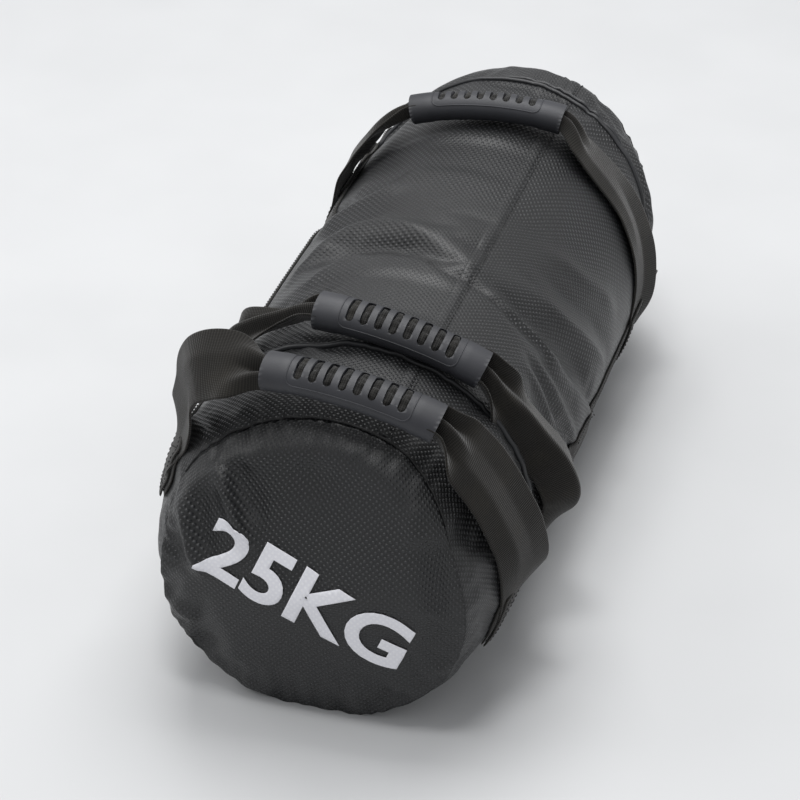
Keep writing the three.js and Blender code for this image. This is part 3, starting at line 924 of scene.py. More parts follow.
def join_meshes(name, meshes):
    bm = bmesh.new()
    for mesh in meshes:
        bm.from_mesh(mesh)
        bpy.data.meshes.remove(mesh)
    joined = bpy.data.meshes.new(name)
    bm.to_mesh(joined)
    bm.free()
    return joined


def ring(place_of, proud, start=-90, turn=360):
    """Points round the bag, where place_of gives y for an angle in degrees."""
    angles = np.linspace(start, start + turn, RING_POINTS, endpoint=False)
    return [on_cloth(a, place_of(a), proud) for a in angles]


def rim_place(angle):
    wrapped = (angle + 180) % 360 - 180
    return NEAR_RIM + float(rim_shift(np.radians(wrapped)))


def band_ring_place(angle):
    """The plain ring seam on the near band drifts towards the middle on the left."""
    return NEAR_RIM + 77 + 20 * float(ease((angle - 95) / 40)) * float(ease((200 - angle) / 50))


def bead_of_cloth(name, node_name, rings, radius):
    parts = [cord_mesh(name, ring(place, proud), radius) for place, proud in rings]
    obj = new_piece(name, join_meshes(name, parts), PIPING)
    if node_name:
        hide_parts(node_name)
    return obj


WELT_APART = 2.9
bead_of_cloth("near_piping_cord", "near_piping", [(lambda a: NEAR_SEAM, 0.9)], 2.3)
bead_of_cloth("far_welt", "far_piping",
              [(lambda a: FAR_SEAM - WELT_APART, 0.5), (lambda a: FAR_SEAM + WELT_APART, 0.5)], 1.9)


def thread_ring(name, place, proud, radius, start=-90, turn=360):
    points = ring(place, proud, start, turn)
    obj = new_piece(name, cord_mesh(name, points, radius, turn == 360), THREAD)
    return obj


thread_ring("near_rim_seam", lambda a: rim_place(a) + 0.8, 0.1, 0.7, 36, 112)
thread_ring("near_band_ring_seam", band_ring_place, 0.15, 0.6)
thread_ring("far_seam_thread", lambda a: FAR_SEAM, 0.35, 0.8)
thread_ring("far_rim_seam", lambda a: FAR_RIM - 1.2, 0.1, 0.9)
print("rings of", RING_POINTS, "points laid on the cloth")

# %% [markdown]
# ## Stitches
#
# A stitch is a grain of thread, a little longer than it is wide. The template is an icosphere
# stretched along the line of sewing and pressed towards the cloth.

# %% Stitch lines
STITCH_PITCH = 3.6
STITCH_LENGTH = 2.5
STITCH_RADIUS = 0.42


def add_stitches(bm, points, normals):
    """Stitches at even spacing along a line of points."""
    lengths = [(b - a).length for a, b in zip(points, points[1:])]
    total = sum(lengths)
    count = max(1, int(total / (STITCH_PITCH * MM)))
    for i in range(count):
        goal = (i + 0.5) * total / count
        k = 0
        while k < len(lengths) - 1 and goal > lengths[k]:
            goal -= lengths[k]
            k += 1
        a, b = points[k], points[k + 1]
        run = (b - a).normalized()
        out = (normals[k] - run * normals[k].dot(run)).normalized()
        across = out.cross(run)
        axes = Matrix((run * STITCH_LENGTH / 2, across * STITCH_RADIUS, out * STITCH_RADIUS)).transposed()
        place = Matrix.Translation(a + run * goal) @ (axes * MM).to_4x4()
        place[3][3] = 1
        bmesh.ops.create_icosphere(bm, subdivisions=1, radius=1, matrix=place)


def stitch_piece(name, lines, body="root"):
    bm = bmesh.new()
    for points, normals in lines:
        add_stitches(bm, points, normals)
    mesh = bpy.data.meshes.new(name)
    bm.to_mesh(mesh)
    bm.free()
    return new_piece(name, mesh, THREAD, body)


def cloth_line(spots, proud):
    """A line of sewing through [angle, y] spots, as points and outward directions."""
    return [on_cloth(a, y, proud) for a, y in spots], [outward(a, y) for a, y in spots]


# %% [markdown]
# ## Ribbons
#
# A seam's folded edge, the side straps, the sewn anchors and the handles' webbing are all ribbons:
# a flat grid whose rows are carried to their places. The grid's own UV map keeps its width and
# length in metres, so the weave runs true whatever the ribbon does.

# %% Make a ribbon
def ribbon_mesh(name, width, length, across, along, place):
    """A grid carried by place(u, v), with u across and v along, in millimetres from 0."""
    bm = bmesh.new()
    bmesh.ops.create_grid(bm, x_segments=across, y_segments=along, size=0.5)
    layer = bm.loops.layers.uv.new("lay")
    for face in bm.faces:
        for loop in face.loops:
            u, v = loop.vert.co.x + 0.5, loop.vert.co.y + 0.5
            loop[layer].uv = (u * width * MM, v * length * MM)
    for vert in bm.verts:
        vert.co = place((vert.co.x + 0.5) * width, (vert.co.y + 0.5) * length)
    mesh = bpy.data.meshes.new(name)
    bm.to_mesh(mesh)
    bm.free()
    return mesh


def thicken(obj, thickness, offset, levels=1):
    wall = obj.modifiers.new("wall", "SOLIDIFY")
    wall.thickness = thickness * MM
    wall.offset = offset
    if levels:
        rounding = obj.modifiers.new("rounding", "SUBSURF")
        rounding.levels = rounding.render_levels = levels
        rounding.subdivision_type = "CATMULL_CLARK"


def face_out(mesh, centre):
    """Turns a ribbon's faces away from a line through the bag, so that its wall grows evenly."""
    middle = sum((p.center for p in mesh.polygons), Vector()) / len(mesh.polygons)
    normal = sum((p.normal * p.area for p in mesh.polygons), Vector())
    if normal.dot(middle - centre) < 0:
        mesh.flip_normals()


# %% Folded edge of the lengthwise seam
FLAP_WIDTH = 8.5
FLAP_PROUD = 0.9
DEGREES_PER_MM = math.degrees(1 / BAG_RADIUS)


def seam_flap(name, node_name, start, end):
    length = end - start
    rows = int(length / 4)
    mesh = ribbon_mesh(name, FLAP_WIDTH, length, 4, rows,
                       lambda u, v: on_cloth(TOP + (FLAP_WIDTH / 2 - u) * DEGREES_PER_MM, start + v,
                                             FLAP_PROUD * (1 if 0.1 < u / FLAP_WIDTH < 0.9 else 0.35)))
    face_out(mesh, Vector((0, mesh.vertices[0].co.y, 0.1)))
    obj = new_piece(name, mesh, TARPAULIN)
    thicken(obj, 1.0, -1)
    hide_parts(node_name)
    return cloth_line([(TOP - (FLAP_WIDTH / 2 + 1.2) * DEGREES_PER_MM, start + v)
                       for v in np.linspace(1, length - 1, rows)], 0.3)


flap_sewing = [
    seam_flap("near_seam_flap", "near_band_seam", NEAR_RIM + RIM_WRAP + 3, NEAR_SEAM - 3),
    seam_flap("centre_seam_flap", "centre_seam", NEAR_SEAM + 3, FAR_SEAM - 5),
    seam_flap("far_seam_flap", "far_band_seam", FAR_SEAM + 5, FAR_RIM - 3),
]
stitch_piece("lengthwise_seam_stitches", flap_sewing)

# %% Side straps
SIDE_STRAP_PROUD = 1.9


def side_strap(name, angle):
    length = SIDE_STRAP_END - SIDE_STRAP_START
    rows = int(length / 5)

    def place(u, v):
        y = SIDE_STRAP_START + v
        return on_cloth(angle + (u - SIDE_STRAP_WIDTH / 2) * DEGREES_PER_MM, y, SIDE_STRAP_PROUD)

    mesh = ribbon_mesh(name, SIDE_STRAP_WIDTH, length, 9, rows, place)
    face_out(mesh, Vector((0, 0, 0.1)))
    obj = new_piece(name, mesh, WEBBING_CLOTH)
    thicken(obj, 1.7, -1)
    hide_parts(name.replace("_web", ""))
    lines = []
    for edge in (-1, 1):
        a = angle + edge * (SIDE_STRAP_WIDTH / 2 - 2.5) * DEGREES_PER_MM
        lines.append(cloth_line([(a, SIDE_STRAP_START + v) for v in np.linspace(3, length - 3, rows)],
                                SIDE_STRAP_PROUD + 0.15))
    return lines


side_sewing = side_strap("right_side_strap_web", RIGHT) + side_strap("left_side_strap_web", LEFT)
stitch_piece("side_strap_stitches", side_sewing)
print("side straps", SIDE_STRAP_END - SIDE_STRAP_START, "mm long")

# %% [markdown]
# ## Where each handle lies
#
# A handle is a stiff loop that leans about its hinge, the line between its two sewn ends. Its webbing
# leaves the grip, stands off the skin along a route of [angle, stand-off] pairs and comes down to
# the side strap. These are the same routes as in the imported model.

# %% Handle routes
HANDLES = {
    "near": {
        "y": NEAR_RIM + 64, "lean": 11.5, "grip": 82, "slack": 0,
        "right": [(43, 15), (32, 12), (20, 10), (8, 11), (-5, 11)],
        "left": [(119, 32), (128, 35), (132, 31), (140, 17), (150, 9)],
    },
    "middle": {
        "y": NEAR_SEAM + 38, "lean": 14, "grip": 78, "slack": 0,
        "right": [(38, 12), (26, 12), (14, 18), (3, 20), (-6, 13)],
        "left": [(117, 15), (127, 16), (134, 17), (141, 12), (150, 9)],
    },
    "far": {
        "y": FAR_SEAM - 42, "lean": -14, "grip": 92, "slack": 0,
        "right": [(53, 11), (41, 9), (27, 8), (12, 7.5), (-4, 7.5)],
        "left": [(128, 20), (139, 17), (150, 12)],
    },
    "end": {
        "y": FAR_RIM - 35, "lean": -120, "grip": 80, "slack": 29,
        "right": [(44, 26), (32, 20), (20, 15), (8, 12), (-5, 11)],
        "left": [(116, 26), (128, 22), (140, 17), (151, 13)],
    },
}


def stand_off(y, degrees, distance):
    """A point off the skin in a handle's own plane, in millimetres from the hinge's middle."""
    angle = math.radians(degrees)
    wide = float(skin_radius(y)) * (1 + SPREAD)
    high = float(skin_radius(y)) * (1 - SPREAD)
    out = Vector((math.cos(angle) / wide, 0, math.sin(angle) / high)).normalized()
    return Vector((wide * math.cos(angle), 0, high * math.sin(angle))) + out * distance


def handle_frame(handle):
    """Turns a point of the handle's own plane, in millimetres, to its place in metres."""
    hinge = stand_off(handle["y"], RIGHT, LEG_STAND_OFF).normalized()
    turn = Matrix.Rotation(math.radians(handle["lean"]), 4, hinge)
    move = Matrix.Translation((0, handle["y"], float(centre_height(handle["y"]))))
    return Matrix.Scale(MM, 4) @ move @ turn


def grip_frame(handle):
    """Turns a point of the grip's own frame to the handle's plane: its arch's crown is the origin."""
    crown = BAG_RADIUS * (1 - SPREAD)
    reach = (crown + GRIP_GAP + GRIP_HEIGHT / 2) / math.cos(math.radians(CROWN_LEAN)) + handle["slack"]
    middle = stand_off(handle["y"], handle["grip"], reach - float(skin_radius(handle["y"])) * (1 - SPREAD))
    return Matrix.Translation(middle) @ Matrix.Rotation(math.radians(90 - handle["grip"]), 4, "Y")


def arch(along, up, aside=0.0):
    """A point of the grip: along its arch, up from its middle line, and aside."""
    angle = along / GRIP_ARCH_RADIUS
    radius = GRIP_ARCH_RADIUS + up
    return Vector((radius * math.sin(angle), aside, radius * math.cos(angle) - GRIP_ARCH_RADIUS))


def hinge_ends(handle):
    place = handle_frame(handle)
    return {side_name: place @ stand_off(handle["y"], sewn, LEG_STAND_OFF)
            for side_name, sewn in (("right", RIGHT), ("left", LEFT))}


for name, handle in HANDLES.items():
    low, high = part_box(f"{name}_grip")
    crown_at = handle_frame(handle) @ grip_frame(handle) @ Vector((0, 0, 0))
    print(name, "grip's arch at", [round(c, 3) for c in crown_at], "in", [round(v, 3) for v in (*low, *high)])

# %% [markdown]
# ## Grips
#
# A grip is moulded in one shot: a sleeve with plain round ends, a slightly raised bead that outlines
# a panel over its crown, and eight slots that show the core. It is made straight, as an oval tube
# cut by a row of rounded slots with a boolean, given small rounded edges, and then arched.

# %% Grip sleeve
GRIP_ROUND = 48
GRIP_LENGTHS = 40
COLLAR_PROUD = 0.45
PANEL_LENGTH, PANEL_WIDTH, PANEL_BEAD = 81, 32, 0.5


def oval_tube(bm, width, height, start, end, rings):
    """An oval bar along X with flat ends, in millimetres."""
    made = bmesh.ops.create_cone(bm, cap_ends=True, segments=GRIP_ROUND, radius1=0.5, radius2=0.5, depth=1)
    bmesh.ops.scale(bm, vec=(height, width, end - start), verts=made["verts"])
    bmesh.ops.rotate(bm, verts=made["verts"], matrix=Matrix.Rotation(math.pi / 2, 3, "Y"))
    bmesh.ops.translate(bm, vec=((start + end) / 2, 0, 0), verts=made["verts"])
    for i in range(1, rings):
        spot = start + (end - start) * i / rings
        bmesh.ops.bisect_plane(bm, geom=bm.verts[:] + bm.edges[:] + bm.faces[:],
                               plane_co=(spot, 0, 0), plane_no=(1, 0, 0))


def slot_cutters():
    bm = bmesh.new()
    half = (SLOT_LENGTH - SLOT_WIDTH) / 2
    for i in range(SLOTS):
        spot = (i - (SLOTS - 1) / 2) * SLOT_PITCH
        made = bmesh.ops.create_cone(bm, cap_ends=True, segments=16, radius1=SLOT_WIDTH / 2,
                                     radius2=SLOT_WIDTH / 2, depth=GRIP_HEIGHT)
        for vert in made["verts"]:
            vert.co.y += half if vert.co.y > 0.01 else -half if vert.co.y < -0.01 else 0
            vert.co += Vector((spot, 0, GRIP_HEIGHT / 2 + 1))
    mesh = bpy.data.meshes.new("slot_cutters")
    bm.to_mesh(mesh)
    bm.free()
    return mesh


def loose_object(name, mesh):
    obj = bpy.data.objects.new(name, mesh)
    scene.collection.objects.link(obj)
    return obj


def cut_mesh(name, mesh, cutters):
    """The mesh with the cutters' shapes taken out of it."""
    body = loose_object(name, mesh)
    others = []
    for cutter in cutters:
        other = loose_object(name + "_cutter", cutter)
        others.append(other)
        cut = body.modifiers.new("cut", "BOOLEAN")
        cut.operation = "DIFFERENCE"
        cut.solver = "EXACT"
        cut.object = other
    edge = body.modifiers.new("edge", "BEVEL")
    edge.width = 0.55
    edge.segments = 2
    edge.limit_method = "ANGLE"
    edge.angle_limit = math.radians(50)
    edge.use_clamp_overlap = True
    made = bpy.data.meshes.new_from_object(body.evaluated_get(bpy.context.evaluated_depsgraph_get()))
    for obj in (body, *others):
        bpy.data.objects.remove(obj)
    return made


def oval_mesh(name, width, height, start, end, rings):
    bm = bmesh.new()
    oval_tube(bm, width, height, start, end, rings)
    mesh = bpy.data.meshes.new(name)
    bm.to_mesh(mesh)
    bm.free()
    return mesh


def panel_bead():
    """The raised outline round the slots, as a closed cord over the oval sleeve."""
    points = []
    corner = 5.5
    half_length, half_width = PANEL_LENGTH / 2 - corner, PANEL_WIDTH / 2 - corner
    for centre_x, centre_y, start in ((half_length, half_width, 0), (-half_length, half_width, 90),
                                      (-half_length, -half_width, 180), (half_length, -half_width, 270)):
        for step in range(7):
            a = math.radians(start + 15 * step)
            points.append((centre_x + corner * math.cos(a), centre_y + corner * math.sin(a)))
    spaced = []
    for (x0, y0), (x1, y1) in zip(points, points[1:] + points[:1]):
        count = max(1, round(math.hypot(x1 - x0, y1 - y0) / 3))
        spaced += [(x0 + (x1 - x0) * k / count, y0 + (y1 - y0) * k / count) for k in range(count)]
    lifted = []
    for x, across in spaced:
        turn = across / (GRIP_WIDTH / 2) * 1.12
        lifted.append((x, GRIP_WIDTH / 2 * math.sin(turn), GRIP_HEIGHT / 2 * math.cos(turn)))
    return cord_mesh("panel_bead", lifted, PANEL_BEAD / MM)


def grip_mesh():
    sleeve = oval_mesh("sleeve", GRIP_WIDTH, GRIP_HEIGHT, -GRIP_LENGTH / 2, GRIP_LENGTH / 2, GRIP_LENGTHS)
    bore = oval_mesh("bore", GRIP_WIDTH - 2 * GRIP_WALL, GRIP_HEIGHT - 2 * GRIP_WALL,
                     -GRIP_LENGTH / 2 - 2, GRIP_LENGTH / 2 + 2, GRIP_LENGTHS)
    made = cut_mesh("sleeve", sleeve, [bore, slot_cutters()])
    places = read_places(made)
    end_zone = ease((np.abs(places[:, 0]) - PANEL_LENGTH / 2 - 1.2) / 1.2)
    outer = np.hypot(places[:, 1] / GRIP_WIDTH, places[:, 2] / GRIP_HEIGHT) > 0.42
    grow = 1 + COLLAR_PROUD / (GRIP_HEIGHT / 2) * end_zone * outer
    places[:, 1:] *= grow[:, None]
    write_places(made, places)
    joined = join_meshes("grip", [made, panel_bead()])
    return joined


GRIP = grip_mesh()
print("grip:", len(GRIP.polygons), "faces")

# %% Place a grip on each handle


def arched_copy(source, name, handle):
    mesh = source.copy()
    mesh.name = name
    place = handle_frame(handle) @ grip_frame(handle)
    spots = [place @ arch(x, z, y) for x, y, z in read_places(mesh)]
    write_places(mesh, np.array(spots))
    return mesh


for name, handle in HANDLES.items():
    grip = new_piece(f"{name}_grip_sleeve", arched_copy(GRIP, f"{name}_grip_sleeve", handle), RUBBER,
                     f"{name}_handle")
    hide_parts(f"{name}_grip")
    normals = grip.modifiers.new("normals", "WEIGHTED_NORMAL")
    normals.keep_sharp = True
bpy.data.meshes.remove(GRIP)

# %% [markdown]
# ## Cores
#
# Through the slots shows the webbing that runs inside, gathered into a braided rope. Its surface is
# an oval bar with two sets of crossing ridges, the braid's strands.

# %% Braided core
CORE_ROUND = 56
STRANDS = 7
BRAID_TURN = 26
BRAID_DEPTH = 0.55
SLOT_SWELL = 2.1  # the rope pushes up into the slots


def core_mesh():
    bm = bmesh.new()
    width = GRIP_WIDTH - 2 * GRIP_WALL - 0.9
    height = GRIP_HEIGHT - 2 * GRIP_WALL - 0.9
    made = bmesh.ops.create_cone(bm, cap_ends=True, segments=CORE_ROUND, radius1=0.5, radius2=0.5,
                                 depth=GRIP_LENGTH - 3)
    long_edges = [e for e in bm.edges if abs(e.verts[0].co.z - e.verts[1].co.z) > 1]
    bmesh.ops.subdivide_edges(bm, edges=long_edges, cuts=110)
    layer = bm.loops.layers.uv.new("lay")
    for face in bm.faces:
        for loop in face.loops:
            a = math.atan2(loop.vert.co.y, loop.vert.co.x)
            loop[layer].uv = (a * 8 * MM, loop.vert.co.z * MM)
    for vert in bm.verts:
        a = math.atan2(vert.co.y, vert.co.x)
        run = 2 * math.pi * vert.co.z / BRAID_TURN
        ridge = max(math.cos(STRANDS * a + run * 2), math.cos(STRANDS * a - run * 2))
        grow = 1 + BRAID_DEPTH * (ridge - 0.6) / 7
        vert.co = Vector((vert.co.z, vert.co.y * width * grow, -vert.co.x * height * grow))
        from_slot = (vert.co.x / SLOT_PITCH + SLOTS / 2) % 1 - 0.5
        if vert.co.z > 0 and abs(vert.co.x) < SLOTS * SLOT_PITCH / 2:
            inside = 1 - abs(from_slot) * SLOT_PITCH / (SLOT_WIDTH / 2)
            inside = min(inside, (SLOT_LENGTH / 2 - abs(vert.co.y)) / (SLOT_WIDTH / 2))
            swell = SLOT_SWELL * float(ease(inside / 0.45))
            vert.co += Vector((0, vert.co.y / 14 * swell, swell))
    bmesh.ops.recalc_face_normals(bm, faces=bm.faces)
    mesh = bpy.data.meshes.new("core")
    bm.to_mesh(mesh)
    bm.free()
    return mesh


CORE = core_mesh()
for name, handle in HANDLES.items():
    core = new_piece(f"{name}_core_braid", arched_copy(CORE, f"{name}_core_braid", handle), BRAID,
                     f"{name}_handle")
    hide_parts(f"{name}_grip_core")
bpy.data.meshes.remove(CORE)

# %% [markdown]
# ## Handle webbing
#
# The webbing is pleated where it enters the sleeve, opens out over a few centimetres and
# lies nearly flat where it is sewn down. Across its width it is a line of fixed length that turns
# at a few bends, so a section is worked out by adding up the bends' angles: three of them are the
# pleats at the grip, and others may run on as lengthwise creases.

# %% Sections and routes
SECTION_STEPS = 26
ROUTE_STEPS = 54
LEG_THICKNESS = 1.7
MOUTH = 7  # length of webbing still inside the sleeve
SEWN_PROUD = 6.2
GATHERED = 0.42  # share of its width that the pleated webbing takes up
PLEATS = (-13, -1, 12)

# For each leg: how slowly it opens, which way its first pleat goes, creases along the webbing
# (where across in mm, degrees, and the stretch of the route over which they act) and its twist.
LEG_FOLDS = {
    ("near", "right"): {"open": 0.9, "first": 1, "creases": [(-9, -26, 0.12, 0.75), (8, 14, 0.2, 0.7)],
                        "twist": [(0, 0), (0.3, 14), (0.8, 20), (1, 4)]},
    ("near", "left"): {"open": 0.8, "first": -1, "creases": [(6, -16, 0.1, 0.5), (-6, 14, 0.5, 0.9)],
                       "twist": [(0, 0), (0.4, -32), (0.8, -34), (1, -12)]},
    ("middle", "right"): {"open": 1.4, "first": 1, "creases": [(2, -84, 0.2, 0.84)],
                          "twist": [(0, 8), (0.55, 16), (1, 0)]},
    ("middle", "left"): {"open": 3.2, "first": 1, "creases": [(-3, -74, 0.1, 0.8), (9, 52, 0.05, 0.7), (17, -30, 0.2, 0.8)],
                         "twist": [(0, 0), (0.25, 14), (0.6, -18), (1, 0)]},
    ("far", "right"): {"open": 0.9, "first": -1, "creases": [(-12, -20, 0.1, 0.6), (6, 24, 0.4, 1)],
                       "twist": [(0, 0), (0.35, 10), (0.85, 12), (1, 4)]},
    ("far", "left"): {"open": 1.3, "first": 1, "creases": [(3, -30, 0.1, 0.7)],
                      "twist": [(0, 0), (0.5, 6), (1, 0)]},
    ("end", "right"): {"open": 1.2, "first": 1, "creases": [(-4, -24, 0.1, 0.7)],
                       "twist": [(0, 0), (0.5, -5), (1, 0)]},
    ("end", "left"): {"open": 1.2, "first": -1, "creases": [(5, -20, 0.1, 0.7)],
                      "twist": [(0, 0), (0.5, 5), (1, 0)]},
}


def section(bends):
    """Points across the webbing: u and rise in millimetres, for bends (centre, half width, degrees)."""
    u = np.linspace(-STRAP_WIDTH / 2, STRAP_WIDTH / 2, SECTION_STEPS * 4 + 1)
    turn = np.zeros_like(u)
    for centre, half, degrees in bends:
        turn += math.radians(degrees) * (ease((u - centre + half) / (2 * half)) - 0.5)
    gap = u[1] - u[0]
    middle = (turn[1:] + turn[:-1]) / 2
    across = np.concatenate([[0], np.cumsum(np.cos(middle) * gap)])
    rise = np.concatenate([[0], np.cumsum(np.sin(middle) * gap)])
    level = math.atan2(rise[-1], across[-1])
    flat = across * math.cos(level) + rise * math.sin(level)
    high = rise * math.cos(level) - across * math.sin(level)
    return np.stack([flat - flat.mean(), high - high.mean()], axis=-1)[::4]


def leg_section(folds, along, length):
    """Pleats that open over the flare, then any creases."""
    opened = float(ease((along * length - MOUTH) / (FLARE_LENGTH * folds["open"])))
    pleat = 2 * math.degrees(math.acos(GATHERED)) * (1 - opened) ** 0.8
    signs = [1, -1, 1] if folds["first"] > 0 else [-1, 1, -1]
    bends = [(spot, 2.4, sign * pleat) for spot, sign in zip(PLEATS, signs)]
    for centre, degrees, start, end in folds["creases"]:
        fade = float(ease((along - start + 0.1) / 0.2) * ease((end - along + 0.1) / 0.2))
        bends.append((centre, 2.0, degrees * fade))
    return section(bends)


def leg_route(handle, side_name):
    """The webbing's middle line in the handle's plane, from the grip's end to the sewn end."""
    way, sewn = (1, RIGHT) if side_name == "right" else (-1, LEFT)
    tuck = GRIP_LENGTH / 2 - 6
    start = grip_frame(handle) @ arch(way * tuck, 0)
    mouth = grip_frame(handle) @ arch(way * (GRIP_LENGTH / 2 + 2), 0)
    points = [start, mouth]
    points += [stand_off(handle["y"], a, d) for a, d in handle[side_name]]
    points.append(stand_off(handle["y"], sewn, SEWN_PROUD))
    return [Vector(p) for p in smooth_line([tuple(p) for p in points], ROUTE_STEPS)]


def blend_value(pairs, along):
    for (a, first), (b, second) in zip(pairs, pairs[1:]):
        if along <= b:
            return first + (second - first) * float(ease((along - a) / (b - a)))
    return pairs[-1][1]


def leg_mesh(name, handle, side_name):
    folds = LEG_FOLDS[(name, side_name)]
    route = leg_route(handle, side_name)
    lengths = [0.0]
    for a, b in zip(route, route[1:]):
        lengths.append(lengths[-1] + (b - a).length)
    total = lengths[-1]
    place = handle_frame(handle)
    way = 1 if side_name == "right" else -1
    rows = []
    for i, spot in enumerate(route):
        along = lengths[i] / total
        run = (route[min(i + 1, len(route) - 1)] - route[max(i - 1, 0)]).normalized()
        across = Vector((0, 1, 0)) * way
        out = across.cross(run) * -1
        if out.dot(spot) < 0:
            out = -out
        twist = Matrix.Rotation(math.radians(blend_value(folds["twist"], along)), 3, run)
        across, out = twist @ Vector((0, 1, 0)), twist @ out
        rows.append([place @ (spot + across * float(u) + out * float(h)) for u, h in leg_section(folds, along, total)])
    columns = len(rows[0])

    def spot_of(u, v):
        return rows[min(round(v / total * (len(rows) - 1)), len(rows) - 1)][round(u / STRAP_WIDTH * (columns - 1))]

    return ribbon_mesh(f"{name}_leg_{side_name}", STRAP_WIDTH, total, columns - 1, len(rows) - 1, spot_of), total


for name, handle in HANDLES.items():
    for side_name, anchor in hinge_ends(handle).items():
        mesh, total = leg_mesh(name, handle, side_name)
        place = handle_frame(handle)
        face_out(mesh, place @ Vector((0, 0, 0)))
        leg = bpy.data.objects.new(f"{name}_leg_{side_name}", mesh)
        scene.collection.objects.link(leg)
        mesh.materials.append(WEBBING_CLOTH)
        mesh.shade_smooth()
        thicken(leg, LEG_THICKNESS, 0)
        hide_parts(f"{name}_strap_{side_name}")
        route = leg_route(handle, side_name)
        tuple(anchor)
        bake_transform(leg)
        print(leg.name, "webbing", round(total), "mm")

# %% [markdown]
# ## Sewn anchors
#
# Each handle's webbing ends in a patch sewn flat on the side strap with a box of stitches crossed
# corner to corner, the usual seam for a load.

# %% Anchors and box stitching
ANCHOR_PROUD = 4.1
BOX_INSET = 4


def anchor_patch(name, node_name, angle, y):
    high = ANCHOR_HEIGHT * DEGREES_PER_MM

    def place(u, v):
        return on_cloth(angle - high / 2 + v * DEGREES_PER_MM, y - STRAP_WIDTH / 2 + u, ANCHOR_PROUD)

    mesh = ribbon_mesh(name, STRAP_WIDTH, ANCHOR_HEIGHT, 12, 10, place)
    face_out(mesh, Vector((0, y * MM, 0.1)))
    obj = new_piece(name, mesh, WEBBING_CLOTH)
    thicken(obj, 1.7, -1)
    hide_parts(node_name)
    left, right = y - STRAP_WIDTH / 2 + BOX_INSET, y + STRAP_WIDTH / 2 - BOX_INSET
    low, top = angle - high / 2 + BOX_INSET * DEGREES_PER_MM, angle + high / 2 - BOX_INSET * DEGREES_PER_MM
    corners = [(low, left), (low, right), (top, right), (top, left)]
    lines = []
    for a, b in [*zip(corners, corners[1:] + corners[:1]), (corners[0], corners[2]), (corners[1], corners[3])]:
        spots = [(a[0] + (b[0] - a[0]) * t, a[1] + (b[1] - a[1]) * t) for t in np.linspace(0, 1, 9)]
        lines.append(cloth_line(spots, ANCHOR_PROUD + 0.15))
    return lines


box_sewing = []
for name, handle in HANDLES.items():
    for side_name, angle in (("right", RIGHT), ("left", LEFT)):
        box_sewing += anchor_patch(f"{name}_{side_name}_anchor_web", f"{name}_anchor_{side_name}", angle, handle["y"])
stitch_piece("anchor_box_stitches", box_sewing)
print("anchors:", len(HANDLES) * 2)

# %% [markdown]
# ## The weight marking
#
# The weight is printed in plain bold letters on the lower half of the near panel, and has turned
# with the bag. Text is made a flat mesh, cut into small faces by planes so that it can bend, and
# each vertex is dropped onto the cloth.

# %% Print
MARK_HEIGHT = 41
MARK_LENGTH = 146
MARK_MIDDLE = (-2, 4)
MARK_TURN = 23
MARK_CUT = 3.0
MARK_PROUD = 0.9


def marking():
    text = bpy.data.curves.new("marking", "FONT")
    text.body = "25KG"
    text.align_x = "CENTER"
    text.align_y = "CENTER"
    text.offset = 0.028
    text.resolution_u = 6
    obj = loose_object("marking", text)
    mesh = bpy.data.meshes.new_from_object(obj.evaluated_get(bpy.context.evaluated_depsgraph_get()))
    bpy.data.objects.remove(obj)
    flat = read_places(mesh)
    low, high = flat.min(axis=0), flat.max(axis=0)
    flat -= (low + high) / 2
    flat[:, 0] *= MARK_LENGTH / (high[0] - low[0])
    flat[:, 1] *= MARK_HEIGHT / (high[1] - low[1])
    write_places(mesh, flat)
    bm = bmesh.new()
    bm.from_mesh(mesh)
    bmesh.ops.remove_doubles(bm, verts=bm.verts, dist=0.01)
    for axis, reach in ((Vector((1, 0, 0)), MARK_LENGTH / 2), (Vector((0, 1, 0)), MARK_HEIGHT / 2)):
        for spot in np.arange(-reach + MARK_CUT, reach, MARK_CUT):
            bmesh.ops.bisect_plane(bm, geom=bm.verts[:] + bm.edges[:] + bm.faces[:],
                                   plane_co=axis * float(spot), plane_no=axis)
    layer = bm.loops.layers.uv.new("lay")
    roll = Matrix.Rotation(math.radians(-MARK_TURN), 2)
    centre = Vector((0, float(centre_height(NEAR_RIM))))
    for vert in bm.verts:
        spot = roll @ (Vector((vert.co.x, vert.co.y)) + Vector(MARK_MIDDLE))
        x, z = spot.x, spot.y + centre.y
        start = Vector((x * MM, (NEAR_RIM - 60) * MM, z * MM))
        hit = cloth_tree.ray_cast(start, Vector((0, 1, 0)), 0.12)
        vert.co = (hit[0] + hit[1].normalized() * (MARK_PROUD * MM * (1 if hit[1].y < 0 else -1))) if hit[0] else start
    for face in bm.faces:
        for loop in face.loops:
            loop[layer].uv = (loop.vert.co.x, loop.vert.co.z - centre.y * MM)
    if sum((f.normal.y * f.calc_area() for f in bm.faces)) > 0:
        bmesh.ops.reverse_faces(bm, faces=bm.faces)
    bm.to_mesh(mesh)
    bm.free()
    obj = new_piece("weight_marking", mesh, INK)
    wall = obj.modifiers.new("wall", "SOLIDIFY")
    wall.thickness = 0.3 * MM
    wall.offset = -1
    return obj


print("marking:", len(marking().data.polygons), "faces")

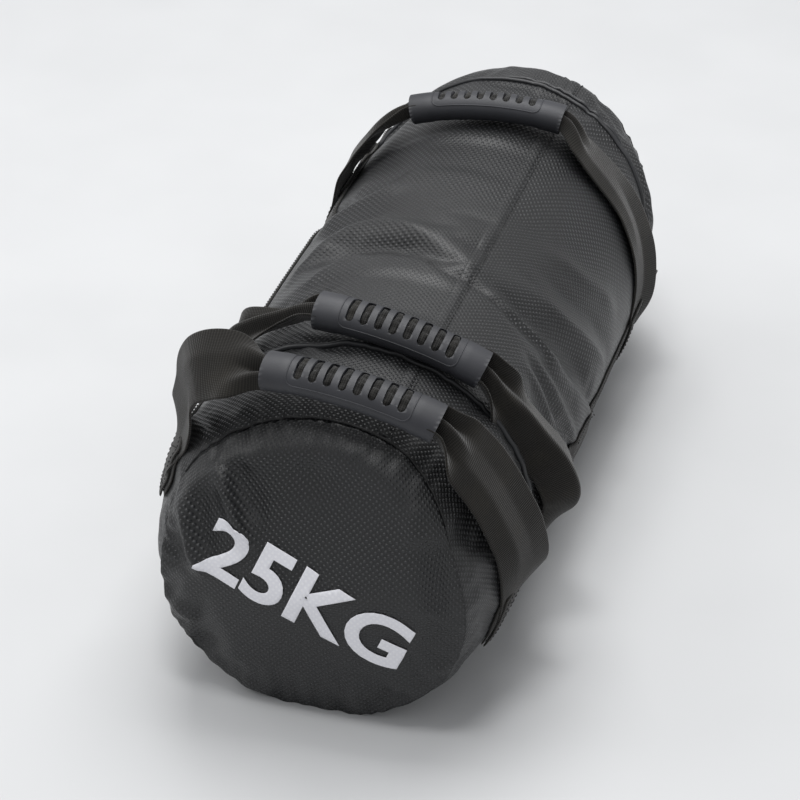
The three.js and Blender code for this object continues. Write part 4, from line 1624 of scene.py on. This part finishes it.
# %% [markdown]
# ## Floor and light
#
# A plain pale floor, one wide soft light overhead and a little behind, so that the top of the skin
# has a broad sheen and the near end stays dark, and a weak one in front.

# %% Floor
FLOOR_SIZE = 9


def pale_floor():
    material, tree, shader = start_material("painted_floor")
    own = node(tree, "ShaderNodeTexCoord").outputs["Object"]
    cloud = node(tree, "ShaderNodeTexNoise", None, {"Vector": own, "Scale": 7, "Detail": 5}).outputs["Fac"]
    shade = spread_range(tree, cloud, 0.3, 0.7, 0, 1, smooth=True)
    tree.links.new(mix_colours(tree, shade, colour("#d0d1d2"), colour("#d2d3d4")), shader.inputs["Base Color"])
    tree.links.new(spread_range(tree, cloud, 0.3, 0.7, 0.4, 0.55), shader.inputs["Roughness"])
    return material


bm = bmesh.new()
bmesh.ops.create_grid(bm, x_segments=8, y_segments=8, size=FLOOR_SIZE / 2)
floor_mesh = bpy.data.meshes.new("floor")
bm.to_mesh(floor_mesh)
bm.free()
floor = loose_object("floor", floor_mesh)
floor_mesh.materials.append(pale_floor())

# %% Lights


def soft_light(name, azimuth, elevation, distance, size, watts):
    data = bpy.data.lights.new(name, "AREA")
    data.shape = "RECTANGLE"
    data.size, data.size_y = size
    data.energy = watts
    light = loose_object(name, data)
    light.location = look_from(math.radians(azimuth), math.radians(elevation), distance, Vector((0, 0, 0.1)))
    turn_towards(light, Vector((0, 0, 0.1)))
    return light


soft_light("overhead", 190, 68, 2.2, (1.7, 1.2), 36)
soft_light("front_top", -5, 76, 2.0, (0.5, 0.35), 9)
soft_light("left_fill", -85, 42, 2.6, (1.2, 0.9), 11)
world = bpy.data.worlds.new("studio")
world.use_nodes = True
world.node_tree.nodes["Background"].inputs["Color"].default_value = colour("#f2f3f5")
world.node_tree.nodes["Background"].inputs["Strength"].default_value = 0.53
scene.world = world

# %% [markdown]
# ## Finish
#
# Last, the view layer is brought up to date.

# %% Finish
bpy.context.view_layer.update()
